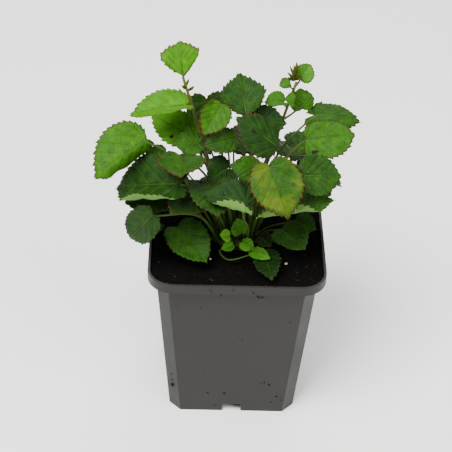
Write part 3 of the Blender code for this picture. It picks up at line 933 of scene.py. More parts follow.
OLD_LEAVES = (
    # The tall shoot on the left and the leaves around it
    Leaf("leaf_flag", (-29, 0, 190), (-31, 13, 202), (-95, 15), 19.5, 40, 22, 22, 0.0, "stem_left",
         shape=Outline.SPADE, tone=0.87, blush=0.9, fold=10),
    Leaf("leaf_left_high", (-27.5, 0, 174.5), (-53.5, -5, 171), (-100, 66), 18, 15, 45, 0, 0.6,
         "stem_left", tone=0.91, blush=0.35),
    Leaf("leaf_left_far", (-46.5, -10, 160.5), (-70, -24, 147), (-100, 50), 29, 25, -125, 5, 0.5,
         via=((-34, -9, 148),), tone=0.7, blush=0.9),
    # Its tone of 0.95 is raised to make up for the shade that leaf_left_high casts on it: painted light.
    Leaf("leaf_left_upper", (-24, 4, 153), (-44.5, 12, 159.5), (-100, 45), 18, 20, 10, 10, 0.7,
         via=((-16, 6, 132),), tone=0.95, blush=0.15, mark=(9, 5, 1.0)),
    Leaf("leaf_left_broad", (-30, -26, 145.5), (-61, -12, 132), (-90, 55), 32, 25, 20, 0, 0.6,
         shape=Outline.BLUNT, roll_left=85, tone=0.3, blush=0.1),
    Leaf("leaf_left_heart", (-29, -21, 158), (-29, -36, 157), (-90, 62), 22, 10, 4, 4,
         fold=3, tone=0.44, blush=1.0),
    Leaf("leaf_left_grey", (-21.5, -5, 155), (-33, -7, 156), (-90, 60), 13, 15, tone=0.5, blush=0.2),
    Leaf("leaf_left_small", (-39, -4, 147), (-47, -1, 146), (-90, 60), 10, 15, tone=0.4),
    Leaf("leaf_left_under", (-38, -17, 131), (-56, -15, 125), (-100, 50), 16, tone=0.25, blush=0.4),
    Leaf("leaf_left_skirt", (-21, -20, 132.5), (-33, -38, 138), (-90, 70), 22, tone=0.2, blush=0.7),
    Leaf("leaf_left_hanging", (-42.5, -32, 131), (-54, -26, 111), (-105, 30), 17, 20, 6, 6, 0.4,
         via=((-20, -18, 120),), shape=Outline.BLUNT, tooth_depth=0.8, tone=0.28, blush=0.1),
    # The top of the mound
    Leaf("leaf_top_cleft", (-17, 20, 164), (-14, 8, 150.5), (-90, 45), 22, 20, 10, 10,
         tone=0.4, blush=1.0),
    Leaf("leaf_top_pale", (-10, 4, 173), (-18.5, -9, 163), (-60, 50), 15, 20, 20, 20, 0.3,
         tone=0.65, blush=1.0),
    Leaf("leaf_top_upright", (2.5, 4, 165.5), (-1.5, 24, 177.5), (-90, 50), 22, 25, 10, 10, 0.2,
         shape=Outline.SPADE, tone=0.35, blush=0.3),
    Leaf("leaf_top_dark", (7, 10, 159), (22.5, 11, 157.5), (-80, 50), 16, tone=0.25, blush=0.2),
    # Its dark mark is painted shade, standing in for the hole through this leaf.
    Leaf("leaf_top_holed", (18, -4, 153.5), (-2, -3, 169), (-80, 45), 22, 20, 6, -50, 0.3,
         tone=0.27, blush=0.9, mark=(15.5, 1.5, 1.1)),
    Leaf("leaf_centre_oval", (-2.5, -4, 158), (-18, -10, 157), (-90, 45), 13, 20, 10, 10, 0.3,
         tone=0.4, blush=0.6),
    Leaf("leaf_right_pale", (31.6, 25.5, 157), (30, 31, 165.5), (-95, 45), 12.5, 20, 15, -20, 0.4,
         "stem_right", shape=Outline.BLUNT, tone=0.62, blush=0.15),
    Leaf("leaf_right_high", (37.5, 21, 156.5), (60, 18.5, 154.5), (-90, 65), 20, 40, -40, -25,
         tone=0.45, blush=0.8),
    Leaf("leaf_right_light", (32.5, 4, 153), (56, 4, 156), (-80, 48), 23, 25, -55, 5, 0.1,
         shape=Outline.BLUNT, tone=0.62, blush=0.9, mark=(4, -8, 1.7)),
    Leaf("leaf_right_mid", (30.5, -16, 145), (49, -14, 143.5), (-70, 45), 20, 20, 6, 6, 0.4,
         via=((10, -2, 120), (20, -3, 138)), shape=Outline.BLUNT, tone=0.4, blush=0.1),
    Leaf("leaf_right_dark", (30, -8, 134), (46, -9, 129), (-60, 40), 18, tone=0.2, blush=0.1),
    Leaf("leaf_right_rolled", (12, -20, 128), (45.5, -20, 133.5), (-90, 70), 28, 15, 0, 25, 0.7,
         fold=0, roll_right=140, tone=0.45, blush=0.1),
    # The front
    Leaf("leaf_front_big", (13.5, -25, 157), (23, -42, 139), (-80, 45), 25, 20, -8, -12, 0.6,
         tone=0.5, blush=1.0, ochre=0.4, spots=1.0, tooth_depth=1.4),
    Leaf("leaf_front_lobe", (7, -19, 149.5), (-5, -18, 151.5), (-90, 45), 12.5, 15, tone=0.5, blush=0.5),
    Leaf("leaf_front_rolled", (2.5, -37, 143), (-17.5, -34, 146.5), (-90, 65), 21, 15, 30, 0,
         via=((5, -18, 112), (2, -29, 128)), fold=0, roll_left=115, tone=0.18, blush=0.1),
    Leaf("leaf_front_skirt", (-13, -22, 142), (-11, -42, 139), (-90, 60), 24, 25, tone=0.35, blush=0.4),
    Leaf("leaf_front_inner", (-6, -8.5, 143), (-16, -16, 140.5), (-90, 50), 16.5, tone=0.2),
    # Close to the potting mix
    Leaf("leaf_soil_left", (-30.5, -14, 110), (-16, -32, 102.5), (-90, 65), 20, 15, 6, 6, 0.4,
         via=((-18, -10, 104),), shape=Outline.BLUNT, tooth_depth=0.8, tone=0.43, blush=0.05, ripple=0.3),
    Leaf("leaf_soil_right", (22.5, -12, 108), (33.5, -24, 106), (-80, 70), 18, 15, 6, 6, 0.4,
         shape=Outline.BLUNT, tooth_depth=0.8, tone=0.36, blush=0.05),
    Leaf("leaf_soil_edge", (31, -2, 106), (40, -6, 104.5), (-80, 60), 12, 15, tone=0.25, blush=0.05),
    Leaf("leaf_soil_dark", (12.5, -11, 102), (17, -17, 101), (-90, 60), 9, 15, tone=0.1),
    Leaf("leaf_soil_front", (14, -22, 99.5), (17, -40, 98), (-90, 60), 13, 15, via=((9, -16, 97),),
         tone=0.05, blush=0.1),
    # The back and the inside of the mound
    Leaf("leaf_back_1", (-30, 18, 122), (-50, 30, 112), (150, 60), 26, 25, tone=0.35),
    Leaf("leaf_back_2", (-14, 26, 130), (-22, 48, 118), (110, 60), 28, 25, tone=0.45, blush=0.7),
    Leaf("leaf_back_3", (4, 28, 128), (3, 50, 116), (90, 60), 25, 25, tone=0.4),
    Leaf("leaf_back_4", (27, 26, 128), (37, 44, 118), (60, 60), 24, 25, tone=0.5, blush=0.8),
    Leaf("leaf_back_5", (36, 14, 124), (54, 22, 114), (20, 60), 24, 25, tone=0.35),
    Leaf("leaf_back_6", (-20, 15.5, 140), (-32, 29, 138), (120, 80), 22, 25, tone=0.5, blush=0.6),
    Leaf("leaf_back_7", (3, 10, 144), (0, 27, 145), (90, 85), 18, 25, tone=0.5, blush=0.8),
    Leaf("leaf_back_8", (7, 23, 141), (8, 40, 133), (90, 75), 20, 25, tone=0.4),
    Leaf("leaf_back_9", (30, 16, 140), (44, 28, 134), (40, 75), 22, 25, tone=0.5, blush=0.7),
    Leaf("leaf_back_low_1", (-30, 10, 106), (-44, 18, 102), (150, 75), 20, tone=0.2, blush=0.1),
    Leaf("leaf_back_low_2", (-8, 26, 106), (-14, 42, 102), (100, 75), 20, tone=0.25, blush=0.1),
    Leaf("leaf_back_low_3", (24, 18, 106), (36, 32, 102), (50, 75), 20, tone=0.2, blush=0.1),
)

YOUNG_LEAVES = (
    Leaf("leaf_shoot_right_1", (29.8, 27, 174), (34.5, 31.5, 179.5), (-80, 40), 10, 20, 10, 10, 0.6,
         "stem_right", shape=Outline.BLUNT, tone=0.5, blush=0.5, teeth_mm=1.8, tooth_depth=1.0),
    Leaf("leaf_shoot_right_2", (24.6, 23, 173.6), (18.8, 21.5, 173), (-90, 70), 7, 20, 20, 20, 0.2,
         "stem_right", tone=0.3, blush=0.6, teeth_mm=1.8, tooth_depth=1.0),
    Leaf("leaf_shoot_right_3", (21.5, 21, 164), (12, 18, 165), (-90, 60), 11, 20, 50, 5, 0.8,
         "stem_right", tone=0.4, blush=0.1, teeth_mm=1.8, tooth_depth=0.9),
    Leaf("leaf_shoot_right_4", (26.5, 18.5, 166), (22, 17, 168.5), (-90, 50), 7.5, 20, 10, 10, 0.6,
         "stem_right", tone=0.4, blush=0.1, teeth_mm=1.8, tooth_depth=0.9),
    Leaf("leaf_young_1", (1.5, -13, 106.5), (-0.5, -11, 113.5), (-90, 40), 9, 15, tone=0.5, blush=0.0,
         teeth_mm=1.6),
    Leaf("leaf_young_2", (-4.5, -15.5, 106), (-9, -17.5, 108), (-90, 50), 6.5, 15,
         tone=0.8, blush=0.0, teeth_mm=1.5),
    Leaf("leaf_young_3", (3, -17, 103), (8, -20, 101), (-90, 50), 7, 15,
         tone=0.6, blush=0.0, teeth_mm=1.6),
    Leaf("leaf_young_4", (-3, -18, 102), (-8, -20, 101), (-90, 60), 5.5, 15,
         tone=0.5, blush=0.0, teeth_mm=1.5),
    Leaf("leaf_runner", (8, -23, 102), (16, -28, 102), (-90, 70), 7, 15,
         via=((-9, -18, 98), (-4, -25, 98)), tone=0.45, blush=0.0, teeth_mm=1.6),
)


@dataclass(frozen=True)
class Shoot:
    """A flowering shoot's stem, with the small bracts left on it."""

    name: str
    route: tuple
    bracts: tuple[Leaf, ...] = ()


def bract(joint: tuple, tip: tuple, width: float = 1.6, facing: tuple = (-90, 20)) -> Leaf:
    """A narrow bract, folded along its midrib."""
    return Leaf(
        "bract", joint, tip, facing, 0.8 * width, 25, 30, 30, 0.0, fold=20, ripple=0.2,
        tone=0.6, blush=0.45, teeth_mm=1.6, tooth_depth=0.4,
    )


SHOOTS = (
    Shoot("stem_left", ((-9.5, -1, 95.2), (-13, 2, 128), (-21, 1, 160), (-29, 0, 189.8)), (
        bract((-26.6, 0, 182), (-23.6, -1.2, 185.5)),
        bract((-27.2, 0, 183), (-29.5, -1.5, 186)),
        bract((-26.2, 0.2, 180), (-24.4, -2, 178.4), 1.3),
        bract((-27.6, 0, 184.5), (-26.2, 1.2, 188.2), 1.3),
    )),
    Shoot("stem_right", ((5, 6, 96), (13, 14, 125), (22, 21, 155), (27.5, 25, 173))),
)

BUD_BRACTS = (
    bract((26.8, 25, 174.5), (25.6, 24.2, 183.2), 1.5),
    bract((26.8, 24.6, 174.5), (22.6, 23.4, 179.4), 1.4),
    bract((27, 24.8, 174.5), (28.2, 24, 181), 1.3),
    bract((26.6, 25.2, 174.5), (23.8, 26.2, 181.6), 1.3, (90, 20)),
    bract((27, 25.4, 174.5), (27.6, 27.4, 182.2), 1.3, (90, 20)),
    bract((27, 24.6, 174), (25.4, 22.2, 177.6), 1.4),
    bract((27.2, 24.8, 174.2), (30.2, 23.6, 177.8), 1.8),
    bract((26.8, 24.8, 174), (22.8, 24.6, 175.8), 1.8),
    bract((27, 25, 175), (26.8, 24.8, 184.4), 1.6),
)

SEEDLINGS = (
    Leaf("seedling", (-40.5, 3, 95.4), (-40.8, -1.6, 96.6), (-80, 60), 4.4, 15, tone=0.25, blush=0.0,
         teeth_mm=1.6, tooth_depth=0.4),
    Leaf("seedling", (-40.2, 3.2, 95.4), (-37.6, 5.6, 96.2), (-80, 70), 3.4, 15, tone=0.2, blush=0.0,
         teeth_mm=1.6, tooth_depth=0.4),
)


@dataclass(frozen=True)
class Plant:
    """The whole plant above the potting mix.

    A stalk ends joint_in mm inside its blade and joint_under mm below its skin. A
    side stalk leaves its stem side_drop mm below the joint and sags by side_sag.
    """

    crown: Crown = Crown()
    stem_mm: float = 0.85
    stem_steps: int = 40
    stalk_steps: int = 18
    routed_steps: int = 22
    side_steps: int = 8
    joint_in: float = 1.5
    joint_under: float = 0.35
    side_drop: float = 4.0
    side_sag: float = 0.4
    rise: tuple[float, float, float] = (0.3, 0.3, 0.8)

    def stalk_route(
        self, leaf: Leaf, starts: dict[str, Vector], stems: dict[str, np.ndarray]
    ) -> np.ndarray:
        """A stalk's centre line, from the crown or a stem up to the underside of its blade.

        Args:
            leaf: the leaf it carries.
            starts: where each leaf's stalk leaves the crown, by the leaf's name.
            stems: the centre lines of the stems, by name.

        Returns:
            The points of the line, in mm.
        """
        end = leaf.bend(np.array([[self.joint_in, 0.0]]), np.array([-self.joint_under]))[0]
        if leaf.root != "crown":
            stem = stems[leaf.root]
            near = stem[np.argmin(np.abs(stem[:, 2] - leaf.joint[2] + self.side_drop))]
            middle = (near + end) / 2 - np.array([0, 0, self.side_sag])
            return smooth_curve((near, middle, end), self.side_steps)
        start = np.array(starts[leaf.name])
        if leaf.via:
            return smooth_curve((start, *leaf.via, end), self.routed_steps)
        rise = start + (end - start) * self.rise
        share = np.linspace(0, 1, self.stalk_steps)[:, None]
        return (1 - share) ** 2 * start + 2 * share * (1 - share) * rise + share**2 * end

    def build(self) -> None:
        """Grow the stems, the leaves, the bud and the seedlings."""
        green = StalkFinish("downy_green_stalk", "#2c4c0c", "#3c2c10", 0.2).material()
        brown = StalkFinish("downy_brown_stem", "#566420", "#46280f", 0.45).material()
        old = BladeFinish("grown_leaf", "#0a2205", "#427c04", "#4a7410", "#56703a")
        young = BladeFinish("young_leaf", "#1e4a0c", "#60a020", "#6ca41a", "#5a8428", roughness=0.42)
        spiky = BladeFinish("bud_bract", "#1e2408", "#4a6a14", "#5c5a18", "#46501c", roughness=0.6)
        bud = LeafMaker(spiky.upper(), spiky.lower(), brown, rings=4)
        stems = {}
        for shoot in SHOOTS:
            stems[shoot.name] = smooth_curve(shoot.route, self.stem_steps)
            radii = np.linspace(self.stem_mm * 1.15, self.stem_mm * 0.8, self.stem_steps)
            piece = tube("stem", stems[shoot.name], radii, brown, sides=3)
            scales = [bud.blade(leaf, seed) for seed, leaf in enumerate(shoot.bracts, start=80)]
            hand_over(join([piece, *scales], f"{shoot.name}_grown"), Slot.STEM, shoot.name)
        everything = (*OLD_LEAVES, *YOUNG_LEAVES)
        starts = self.crown.starts(everything)
        for leaves, finish, slot in ((OLD_LEAVES, old, Slot.LEAF), (YOUNG_LEAVES, young, Slot.YOUNG)):
            maker = LeafMaker(finish.upper(), finish.lower(), green)
            for seed, leaf in enumerate(leaves, start=1):
                piece = maker.grow(leaf, self.stalk_route(leaf, starts, stems), seed)
                hand_over(piece, slot, leaf.name)
        scales = [bud.blade(leaf, seed) for seed, leaf in enumerate(BUD_BRACTS, start=90)]
        hand_over(join(scales, "bud_right_grown"), Slot.BUD, "bud_right")
        maker = LeafMaker(old.upper(), old.lower(), green, rings=6)
        sprouts = [maker.blade(leaf, seed) for seed, leaf in enumerate(SEEDLINGS, start=70)]
        hand_over(join(sprouts, "seedling_at_rim"), Slot.YOUNG)


# ------------------------------------------------------------------ pot and peat


@dataclass(frozen=True)
class NurseryPot:
    """The square pot: tapered, with chamfered corners, a stepped collar and a raised, drained floor.

    Every length is in mm. overlap and overcut are how far a solid runs into the
    one it joins, and a cutter past what it cuts.
    """

    rim_side: float = 90.0
    neck_side: float = 81.0
    foot_side: float = 67.0
    height: float = 97.0
    collar: float = 5.0
    rim_wall: float = 1.3
    body_wall: float = 1.2
    foot_wall: float = 2.2
    rim_radius: float = 13.0
    rim_steps: int = 9
    chamfer: float = 6.0
    inside_chamfer: float = 5.4
    recess_chamfer: float = 5.0
    floor_low: float = 6.0
    floor_thick: float = 1.4
    notch: tuple[float, float] = (10.0, 5.2)
    notch_round: float = 1.0
    drain_radius: float = 3.5
    drain_spacing: float = 15.0
    edge_round: float = 0.45
    edge_angle: float = 32.0
    overlap: float = 0.4
    overcut: float = 2.0
    drain_cut: float = 8.4

    def side_at(self, level: float) -> float:
        """The body's outer side at a height."""
        return self.foot_side + (self.neck_side - self.foot_side) * level / (self.height - self.collar)

    @staticmethod
    def block(
        name: str, sides: tuple[float, float], levels: tuple[float, float], corner: float, steps: int = 1
    ) -> bpy.types.Object:
        """A tapered block with bevelled upright edges.

        Args:
            name: the object's name.
            sides: its side at the bottom and at the top, in mm.
            levels: the heights of its bottom and top, in mm.
            corner: how far the bevel reaches from each upright edge.
            steps: the bevel's segments, 1 for a flat chamfer.

        Returns:
            The block.
        """
        deselect()
        tall = levels[1] - levels[0]
        middle = POT_AXIS + Vector((0, 0, (levels[0] + levels[1]) / 2)) * MM
        size = Vector((sides[0], sides[0], tall)) * MM
        bpy.ops.mesh.primitive_cube_add(size=1.0, location=middle, scale=size)
        piece = bpy.context.object
        piece.name = name
        settle(piece)
        mesh = piece.data
        select_parts(piece, "FACE", [face.index for face in mesh.polygons if face.normal.z > 0.5])
        grow = sides[1] / sides[0]
        bpy.ops.transform.resize(value=(grow, grow, 1.0), center_override=middle)
        bpy.ops.object.mode_set(mode="OBJECT")
        upright = []
        for edge in mesh.edges:
            low, high = (mesh.vertices[k].co.z for k in edge.vertices)
            if abs(high - low) > tall * MM / 2:
                upright.append(edge.index)
        bevel_edges(piece, upright, corner, steps)
        return piece

    def tapered(
        self, name: str, wall: float, levels: tuple[float, float], corner: float
    ) -> bpy.types.Object:
        """A chamfered block with the body's own taper, set in from its outside by a wall."""
        sides = tuple(self.side_at(level) - 2 * wall for level in levels)
        return self.block(name, sides, levels, corner)

    @staticmethod
    def cut(piece: bpy.types.Object, tool: bpy.types.Object, operation: str = "DIFFERENCE") -> None:
        """Cut a piece with a tool, or add the tool to it, and throw the tool away."""
        modifier = piece.modifiers.new("cut", "BOOLEAN")
        modifier.operation = operation
        modifier.solver = "EXACT"
        modifier.object = tool
        apply_modifiers(piece)
        bpy.data.objects.remove(tool, do_unlink=True)

    def build(self) -> None:
        """Mould the pot and dress it."""
        ledge = self.height - self.collar
        floor = self.floor_low + self.floor_thick
        mouth = self.rim_side - 2 * self.rim_wall
        pot = self.tapered("pot_moulded", 0.0, (0.0, ledge + self.overlap), self.chamfer)
        rim = (self.rim_side, self.rim_side)
        collar = self.block("collar", rim, (ledge, self.height), self.rim_radius, self.rim_steps)
        self.cut(pot, collar, "UNION")
        tools = (
            self.tapered("inside", self.body_wall, (floor, self.height), self.inside_chamfer),
            self.block(
                "mouth", (mouth, mouth), (ledge + self.body_wall, self.height + self.overcut),
                self.rim_radius - self.rim_wall, self.rim_steps,
            ),
            self.tapered("recess", self.foot_wall, (-self.overcut, self.floor_low), self.recess_chamfer),
            *self.notches(),
            *self.drains(floor),
        )
        for tool in tools:
            self.cut(pot, tool)
        make_active(pot)
        bpy.ops.object.shade_smooth()
        modifier = pot.modifiers.new("mould_radius", "BEVEL")
        modifier.harden_normals = True
        modifier.width = self.edge_round * MM
        modifier.segments = 2
        modifier.limit_method = "ANGLE"
        modifier.angle_limit = math.radians(self.edge_angle)
        apply_modifiers(pot)
        dress(pot, PlasticFinish().material())
        hand_over(pot, Slot.POT, "pot")

    def notches(self) -> list[bpy.types.Object]:
        """Two bars with rounded upper edges, which cut a notch in the middle of each foot edge."""
        wide, high = self.notch
        through = 2 * self.foot_side
        bars = []
        for across, along in ((through, wide), (wide, through)):
            deselect()
            size = Vector((across, along, 2 * high)) * MM
            bpy.ops.mesh.primitive_cube_add(size=1.0, location=POT_AXIS, scale=size)
            bar = bpy.context.object
            settle(bar)
            roof = []
            for edge in bar.data.edges:
                ends = [bar.data.vertices[k].co - POT_AXIS for k in edge.vertices]
                if min(end.z for end in ends) > 0 and (ends[0] - ends[1]).length > self.foot_side * MM:
                    roof.append(edge.index)
            bevel_edges(bar, roof, self.notch_round, 3)
            bars.append(bar)
        return bars

    def drains(self, floor: float) -> list[bpy.types.Object]:
        """The pins that punch the five drain holes."""
        pins = []
        for across, along in ((0, 0), (1, 1), (1, -1), (-1, 1), (-1, -1)):
            deselect()
            place = Vector((across * self.drain_spacing, along * self.drain_spacing, floor)) * MM
            bpy.ops.mesh.primitive_cylinder_add(
                vertices=32, radius=self.drain_radius * MM, depth=self.drain_cut * MM,
                location=POT_AXIS + place,
            )
            settle(bpy.context.object)
            pins.append(bpy.context.object)
        return pins


# Crumbs spilt on the pot: place across and along the rim, size and tone; then on the
# collar's and neck's front, at its height, length and tone; on the front wall; on its left corner.
RIM_BITS = (
    (43.8, -6, 0.7, 0.8), (43.9, 3, 0.9, 0.6), (43.7, 9, 0.6, 0.9), (43.9, 15, 0.8, 0.7),
    (43.6, -15, 0.5, 0.5), (44.0, 20, 0.6, 0.8), (-20, -44.2, 0.5, 0.5), (14, -44.0, 0.8, 0.4),
    (18, -44.3, 0.6, 0.5),
)
COLLAR_BITS = (
    (-8, 87.8, 1.2, 0.75), (10.5, 87.2, 1.6, 0.35), (12.6, 86.5, 1.1, 0.9),
    (-13, 94.2, 0.8, 0.7), (8, 93.6, 0.5, 0.2), (-2, 95.0, 0.5, 0.5),
)
WALL_BITS = (
    (24, 12, 0.7), (21, 7.5, 0.5), (-9, 4.2, 0.5), (4, 55, 0.4), (-18, 78, 0.4), (28, 69, 0.5),
    (15, 22, 0.45), (17, 23, 0.6), (19.5, 21.5, 0.7), (26.5, 9.2, 0.45), (-4, 14, 0.7), (-13, 14, 0.55),
)
CORNER_BITS = ((17, 1.0), (21, 0.5), (25, 0.4))


@dataclass(frozen=True)
class PottingMix:
    """Dark moist peat with fibres, bark and perlite, filling the pot to just under its rim."""

    half: float = 43.6
    corner: float = 11.6
    top: float = 94.1
    low: float = 7.8
    foot_half: float = 32.4
    lip_drop: float = 3.2
    lip_step: float = 5.4
    bank_from: float = 0.88
    strewn_to: float = 41.0
    fibres_to: float = 37.0
    bit_lift: float = 0.3
    cells: int = 120
    crumbs: int = 420
    fibres: int = 110
    bark: int = 18
    perlite: int = 8

    def level(self, x: float, y: float) -> float:
        """The peat's height at a place, in mm about the pot's axis."""

        def wave(size: float, height: float, shift: tuple = (0, 0, 0)) -> float:
            """Noise of a size and a height at this place."""
            return noise.noise(Vector((x, y, 0.0)) / size + Vector(shift)) * height

        coarse = wave(17.0, 0.9, (4, 1, 0)) + wave(5.0, 0.75, (9, 2, 3))
        grit = wave(1.7, 0.5, (2, 8, 5)) + wave(0.8, 0.22)
        mound = 1.3 * math.exp(-((x / 20) ** 2) - ((y + 2) / 18) ** 2)
        edge = max(abs(x), abs(y)) / self.half
        bank = max(0.0, edge - self.bank_from) / (1 - self.bank_from)
        return self.top - 0.4 + coarse * (1 - 0.8 * bank) + grit + mound + 0.9 * bank

    def surface(self, peat: bpy.types.Material) -> bpy.types.Object:
        """The whole body of peat, from a grid warped to the pot's round-cornered mouth."""
        deselect()
        bpy.ops.mesh.primitive_grid_add(x_subdivisions=self.cells, y_subdivisions=self.cells, size=2.0)
        piece = bpy.context.object
        for vertex in piece.data.vertices:
            u, v = vertex.co.x, vertex.co.y
            ring = max(abs(u), abs(v))
            x, y = u * self.half, v * self.half
            flat = (self.half - self.corner) * ring
            over_x, over_y = abs(x) - flat, abs(y) - flat
            if over_x > 0 and over_y > 0:
                squeeze = max(over_x, over_y) / math.hypot(over_x, over_y)
                x = math.copysign(flat + over_x * squeeze, x)
                y = math.copysign(flat + over_y * squeeze, y)
            vertex.co = Vector((x, y, self.level(x, y))) * MM + POT_AXIS
        with editing(piece, "EDGE"):
            self.sink(piece)
        bpy.ops.object.shade_smooth_by_angle(angle=math.radians(60))
        store(piece.data, "tone", np.zeros(len(piece.data.vertices)))
        piece.data.materials.append(peat)
        piece.name = "peat_body"
        return piece

    def sink(self, piece: bpy.types.Object) -> None:
        """Draw the surface's edge down to the pot's floor, in edit mode, and close it there."""
        bpy.ops.mesh.region_to_loop()
        centre = POT_AXIS + Vector((0, 0, self.top * MM))
        below = self.low - self.top + self.lip_drop
        for drop, side in ((-self.lip_drop, self.half - self.lip_step), (below, self.foot_half)):
            bpy.ops.mesh.extrude_region_move(TRANSFORM_OT_translate={"value": (0, 0, drop * MM)})
            ring = [v.co for v in bmesh.from_edit_mesh(piece.data).verts if v.select]
            reach = max(abs(c.x - POT_AXIS.x) for c in ring) / MM
            bpy.ops.transform.resize(value=(side / reach, side / reach, 1.0), center_override=centre)
        bpy.ops.mesh.edge_face_add()
        bpy.ops.mesh.select_all(action="SELECT")
        bpy.ops.mesh.normals_make_consistent(inside=False)

    @staticmethod
    def crumb(seed: int, lobes: int = 1) -> bpy.types.Object:
        """One rough crumb of unit size, modelled to be copied."""
        deselect()
        bpy.ops.mesh.primitive_ico_sphere_add(subdivisions=lobes, radius=1.0)
        piece = bpy.context.object
        for vertex in piece.data.vertices:
            vertex.co *= 1 + 0.5 * noise.noise(vertex.co * 1.3 + Vector((seed, 0, 0)))
        return piece

    def scatter(
        self, models: list[bpy.types.Object], material: bpy.types.Material, places: list[tuple],
        rng: random.Random, name: str,
    ) -> bpy.types.Object:
        """Copy the models to places, each turned its own way, and join the copies.

        Args:
            models: what to copy, of unit size.
            material: the copies' finish.
            places: for each copy its place in mm, its three half sizes and its tone.
            rng: seeded chance.
            name: the joined piece's name.

        Returns:
            The joined piece.
        """
        copies = []
        for place, size, tone in places:
            model = rng.choice(models)
            copy = model.copy()
            copy.data = model.data.copy()
            bpy.context.scene.collection.objects.link(copy)
            turn = Matrix.Rotation(rng.uniform(0, math.tau), 4, "Z")
            tilt = Matrix.Rotation(rng.uniform(-0.4, 0.4), 4, "X")
            spot = Matrix.Translation(Vector(place) * MM + POT_AXIS)
            copy.data.transform(spot @ turn @ tilt @ Matrix.Diagonal((*(Vector(size) * MM), 1.0)))
            copy.matrix_world = Matrix()
            dress(copy, material)
            store(copy.data, "tone", np.full(len(copy.data.vertices), tone))
            copies.append(copy)
        return join(copies, name)

    def strewn(
        self, count: int, rng: random.Random, half: Callable[[], tuple], tones: tuple, lift: float
    ) -> list[tuple]:
        """Chance places on the peat.

        Args:
            count: how many.
            rng: seeded chance.
            half: draws the three half sizes of one bit.
            tones: the range of its tone.
            lift: how far its centre lies over the peat.

        Returns:
            For each bit its place in mm, its three half sizes and its tone.
        """
        places = []
        for _ in range(count):
            x, y = (rng.uniform(-self.strewn_to, self.strewn_to) for _ in range(2))
            places.append(((x, y, self.level(x, y) + lift), half(), rng.uniform(*tones)))
        return places

    @staticmethod
    def spilt() -> list[tuple]:
        """Places of the bits spilt on the pot, as strewn gives them."""
        pot = NurseryPot()
        places = []
        for x, y, size, tone in RIM_BITS:
            places.append(((x, y, pot.height + 0.1), (size, size * 0.6, size * 0.35), tone))
        for x, z, long, tone in COLLAR_BITS:
            on_collar = z > pot.height - pot.collar
            front = pot.rim_side / 2 + 0.2 if on_collar else pot.neck_side / 2 - 0.3
            places.append(((x, -front, z), (long, 0.35, 0.5), tone))
        for x, z, size in WALL_BITS:
            places.append(((x, -pot.side_at(z) / 2, z), (size, size * 0.5, size), 0.1))
        for z, size in CORNER_BITS:
            corner = -(pot.side_at(z) - pot.chamfer) / 2
            places.append(((corner, corner, z), (size, size, size), 0.0))
        return places

    def build(self) -> None:
        """Fill the pot and strew the surface."""
        rng = random.Random(11)
        peat = GrainFinish("moist_peat", "#030202", "#150e08", 1.1).material()
        wood = GrainFinish("composted_bark", "#1a0e07", "#4c3018", 1.6, 0.8).material()
        white = GrainFinish("expanded_perlite", "#8f8a78", "#d8d4c4", 0.8, 0.85).material()
        straw = GrainFinish("peat_fibre", "#080503", "#2a2212", 3.0, 0.8).material()

        def crumb_half() -> tuple:
            """A crumb's three half sizes."""
            size = rng.uniform(0.35, 1.1)
            return size, size * rng.uniform(0.6, 1.0), size * rng.uniform(0.5, 0.9)

        def chip_half() -> tuple:
            """A flat chip's."""
            return rng.uniform(0.5, 1.5), rng.uniform(0.25, 0.6), rng.uniform(0.15, 0.35)

        def grain_half() -> tuple:
            """A round grain's."""
            size = rng.uniform(0.3, 0.7)
            return size, size, size * 0.8

        body = self.surface(peat)
        crumbs = [self.crumb(k) for k in range(4)]
        chips = [self.crumb(k + 10, 2) for k in range(3)]
        places = self.strewn(self.crumbs, rng, crumb_half, (-0.2, 0.55), 0.0)
        grains = self.scatter(crumbs, peat, places, rng, "peat_crumbs")
        hand_over(join([body, grains], "potting_mix_filled"), Slot.PEAT, "potting_mix")
        places = self.strewn(self.bark, rng, chip_half, (0.0, 0.7), self.bit_lift) + self.spilt()
        hand_over(self.scatter(chips, wood, places, rng, "bark_bits"), Slot.PEAT)
        places = self.strewn(self.perlite, rng, grain_half, (0.2, 0.9), self.bit_lift)
        hand_over(self.scatter(chips, white, places, rng, "perlite_grains"), Slot.PEAT)
        self.strew_fibres(straw, rng)
        for model in (*crumbs, *chips):
            bpy.data.objects.remove(model, do_unlink=True)

    def strew_fibres(self, material: bpy.types.Material, rng: random.Random) -> None:
        """Thin bent fibres lying on the peat."""
        far, knots, steps = self.fibres_to, 5, 9
        strands = []
        for _ in range(self.fibres):
            x, y = rng.uniform(-far, far), rng.uniform(-far, far)
            way, curl = rng.uniform(0, math.tau), rng.uniform(-0.5, 0.5)
            step = rng.uniform(0.8, 2.0)
            route = []
            for _ in range(knots):
                route.append((x, y, self.level(x, y) + rng.uniform(0.25, 0.7)))
                x, y, way = x + step * math.cos(way), y + step * math.sin(way), way + curl
            line = smooth_curve(route, steps)
            strand = tube("fibre", line, np.full(steps, rng.uniform(0.07, 0.16)), material, sides=0)
            store(strand.data, "tone", np.full(len(strand.data.vertices), rng.uniform(-0.1, 1.0)))
            strands.append(strand)
        hand_over(join(strands, "peat_fibres"), Slot.PEAT)


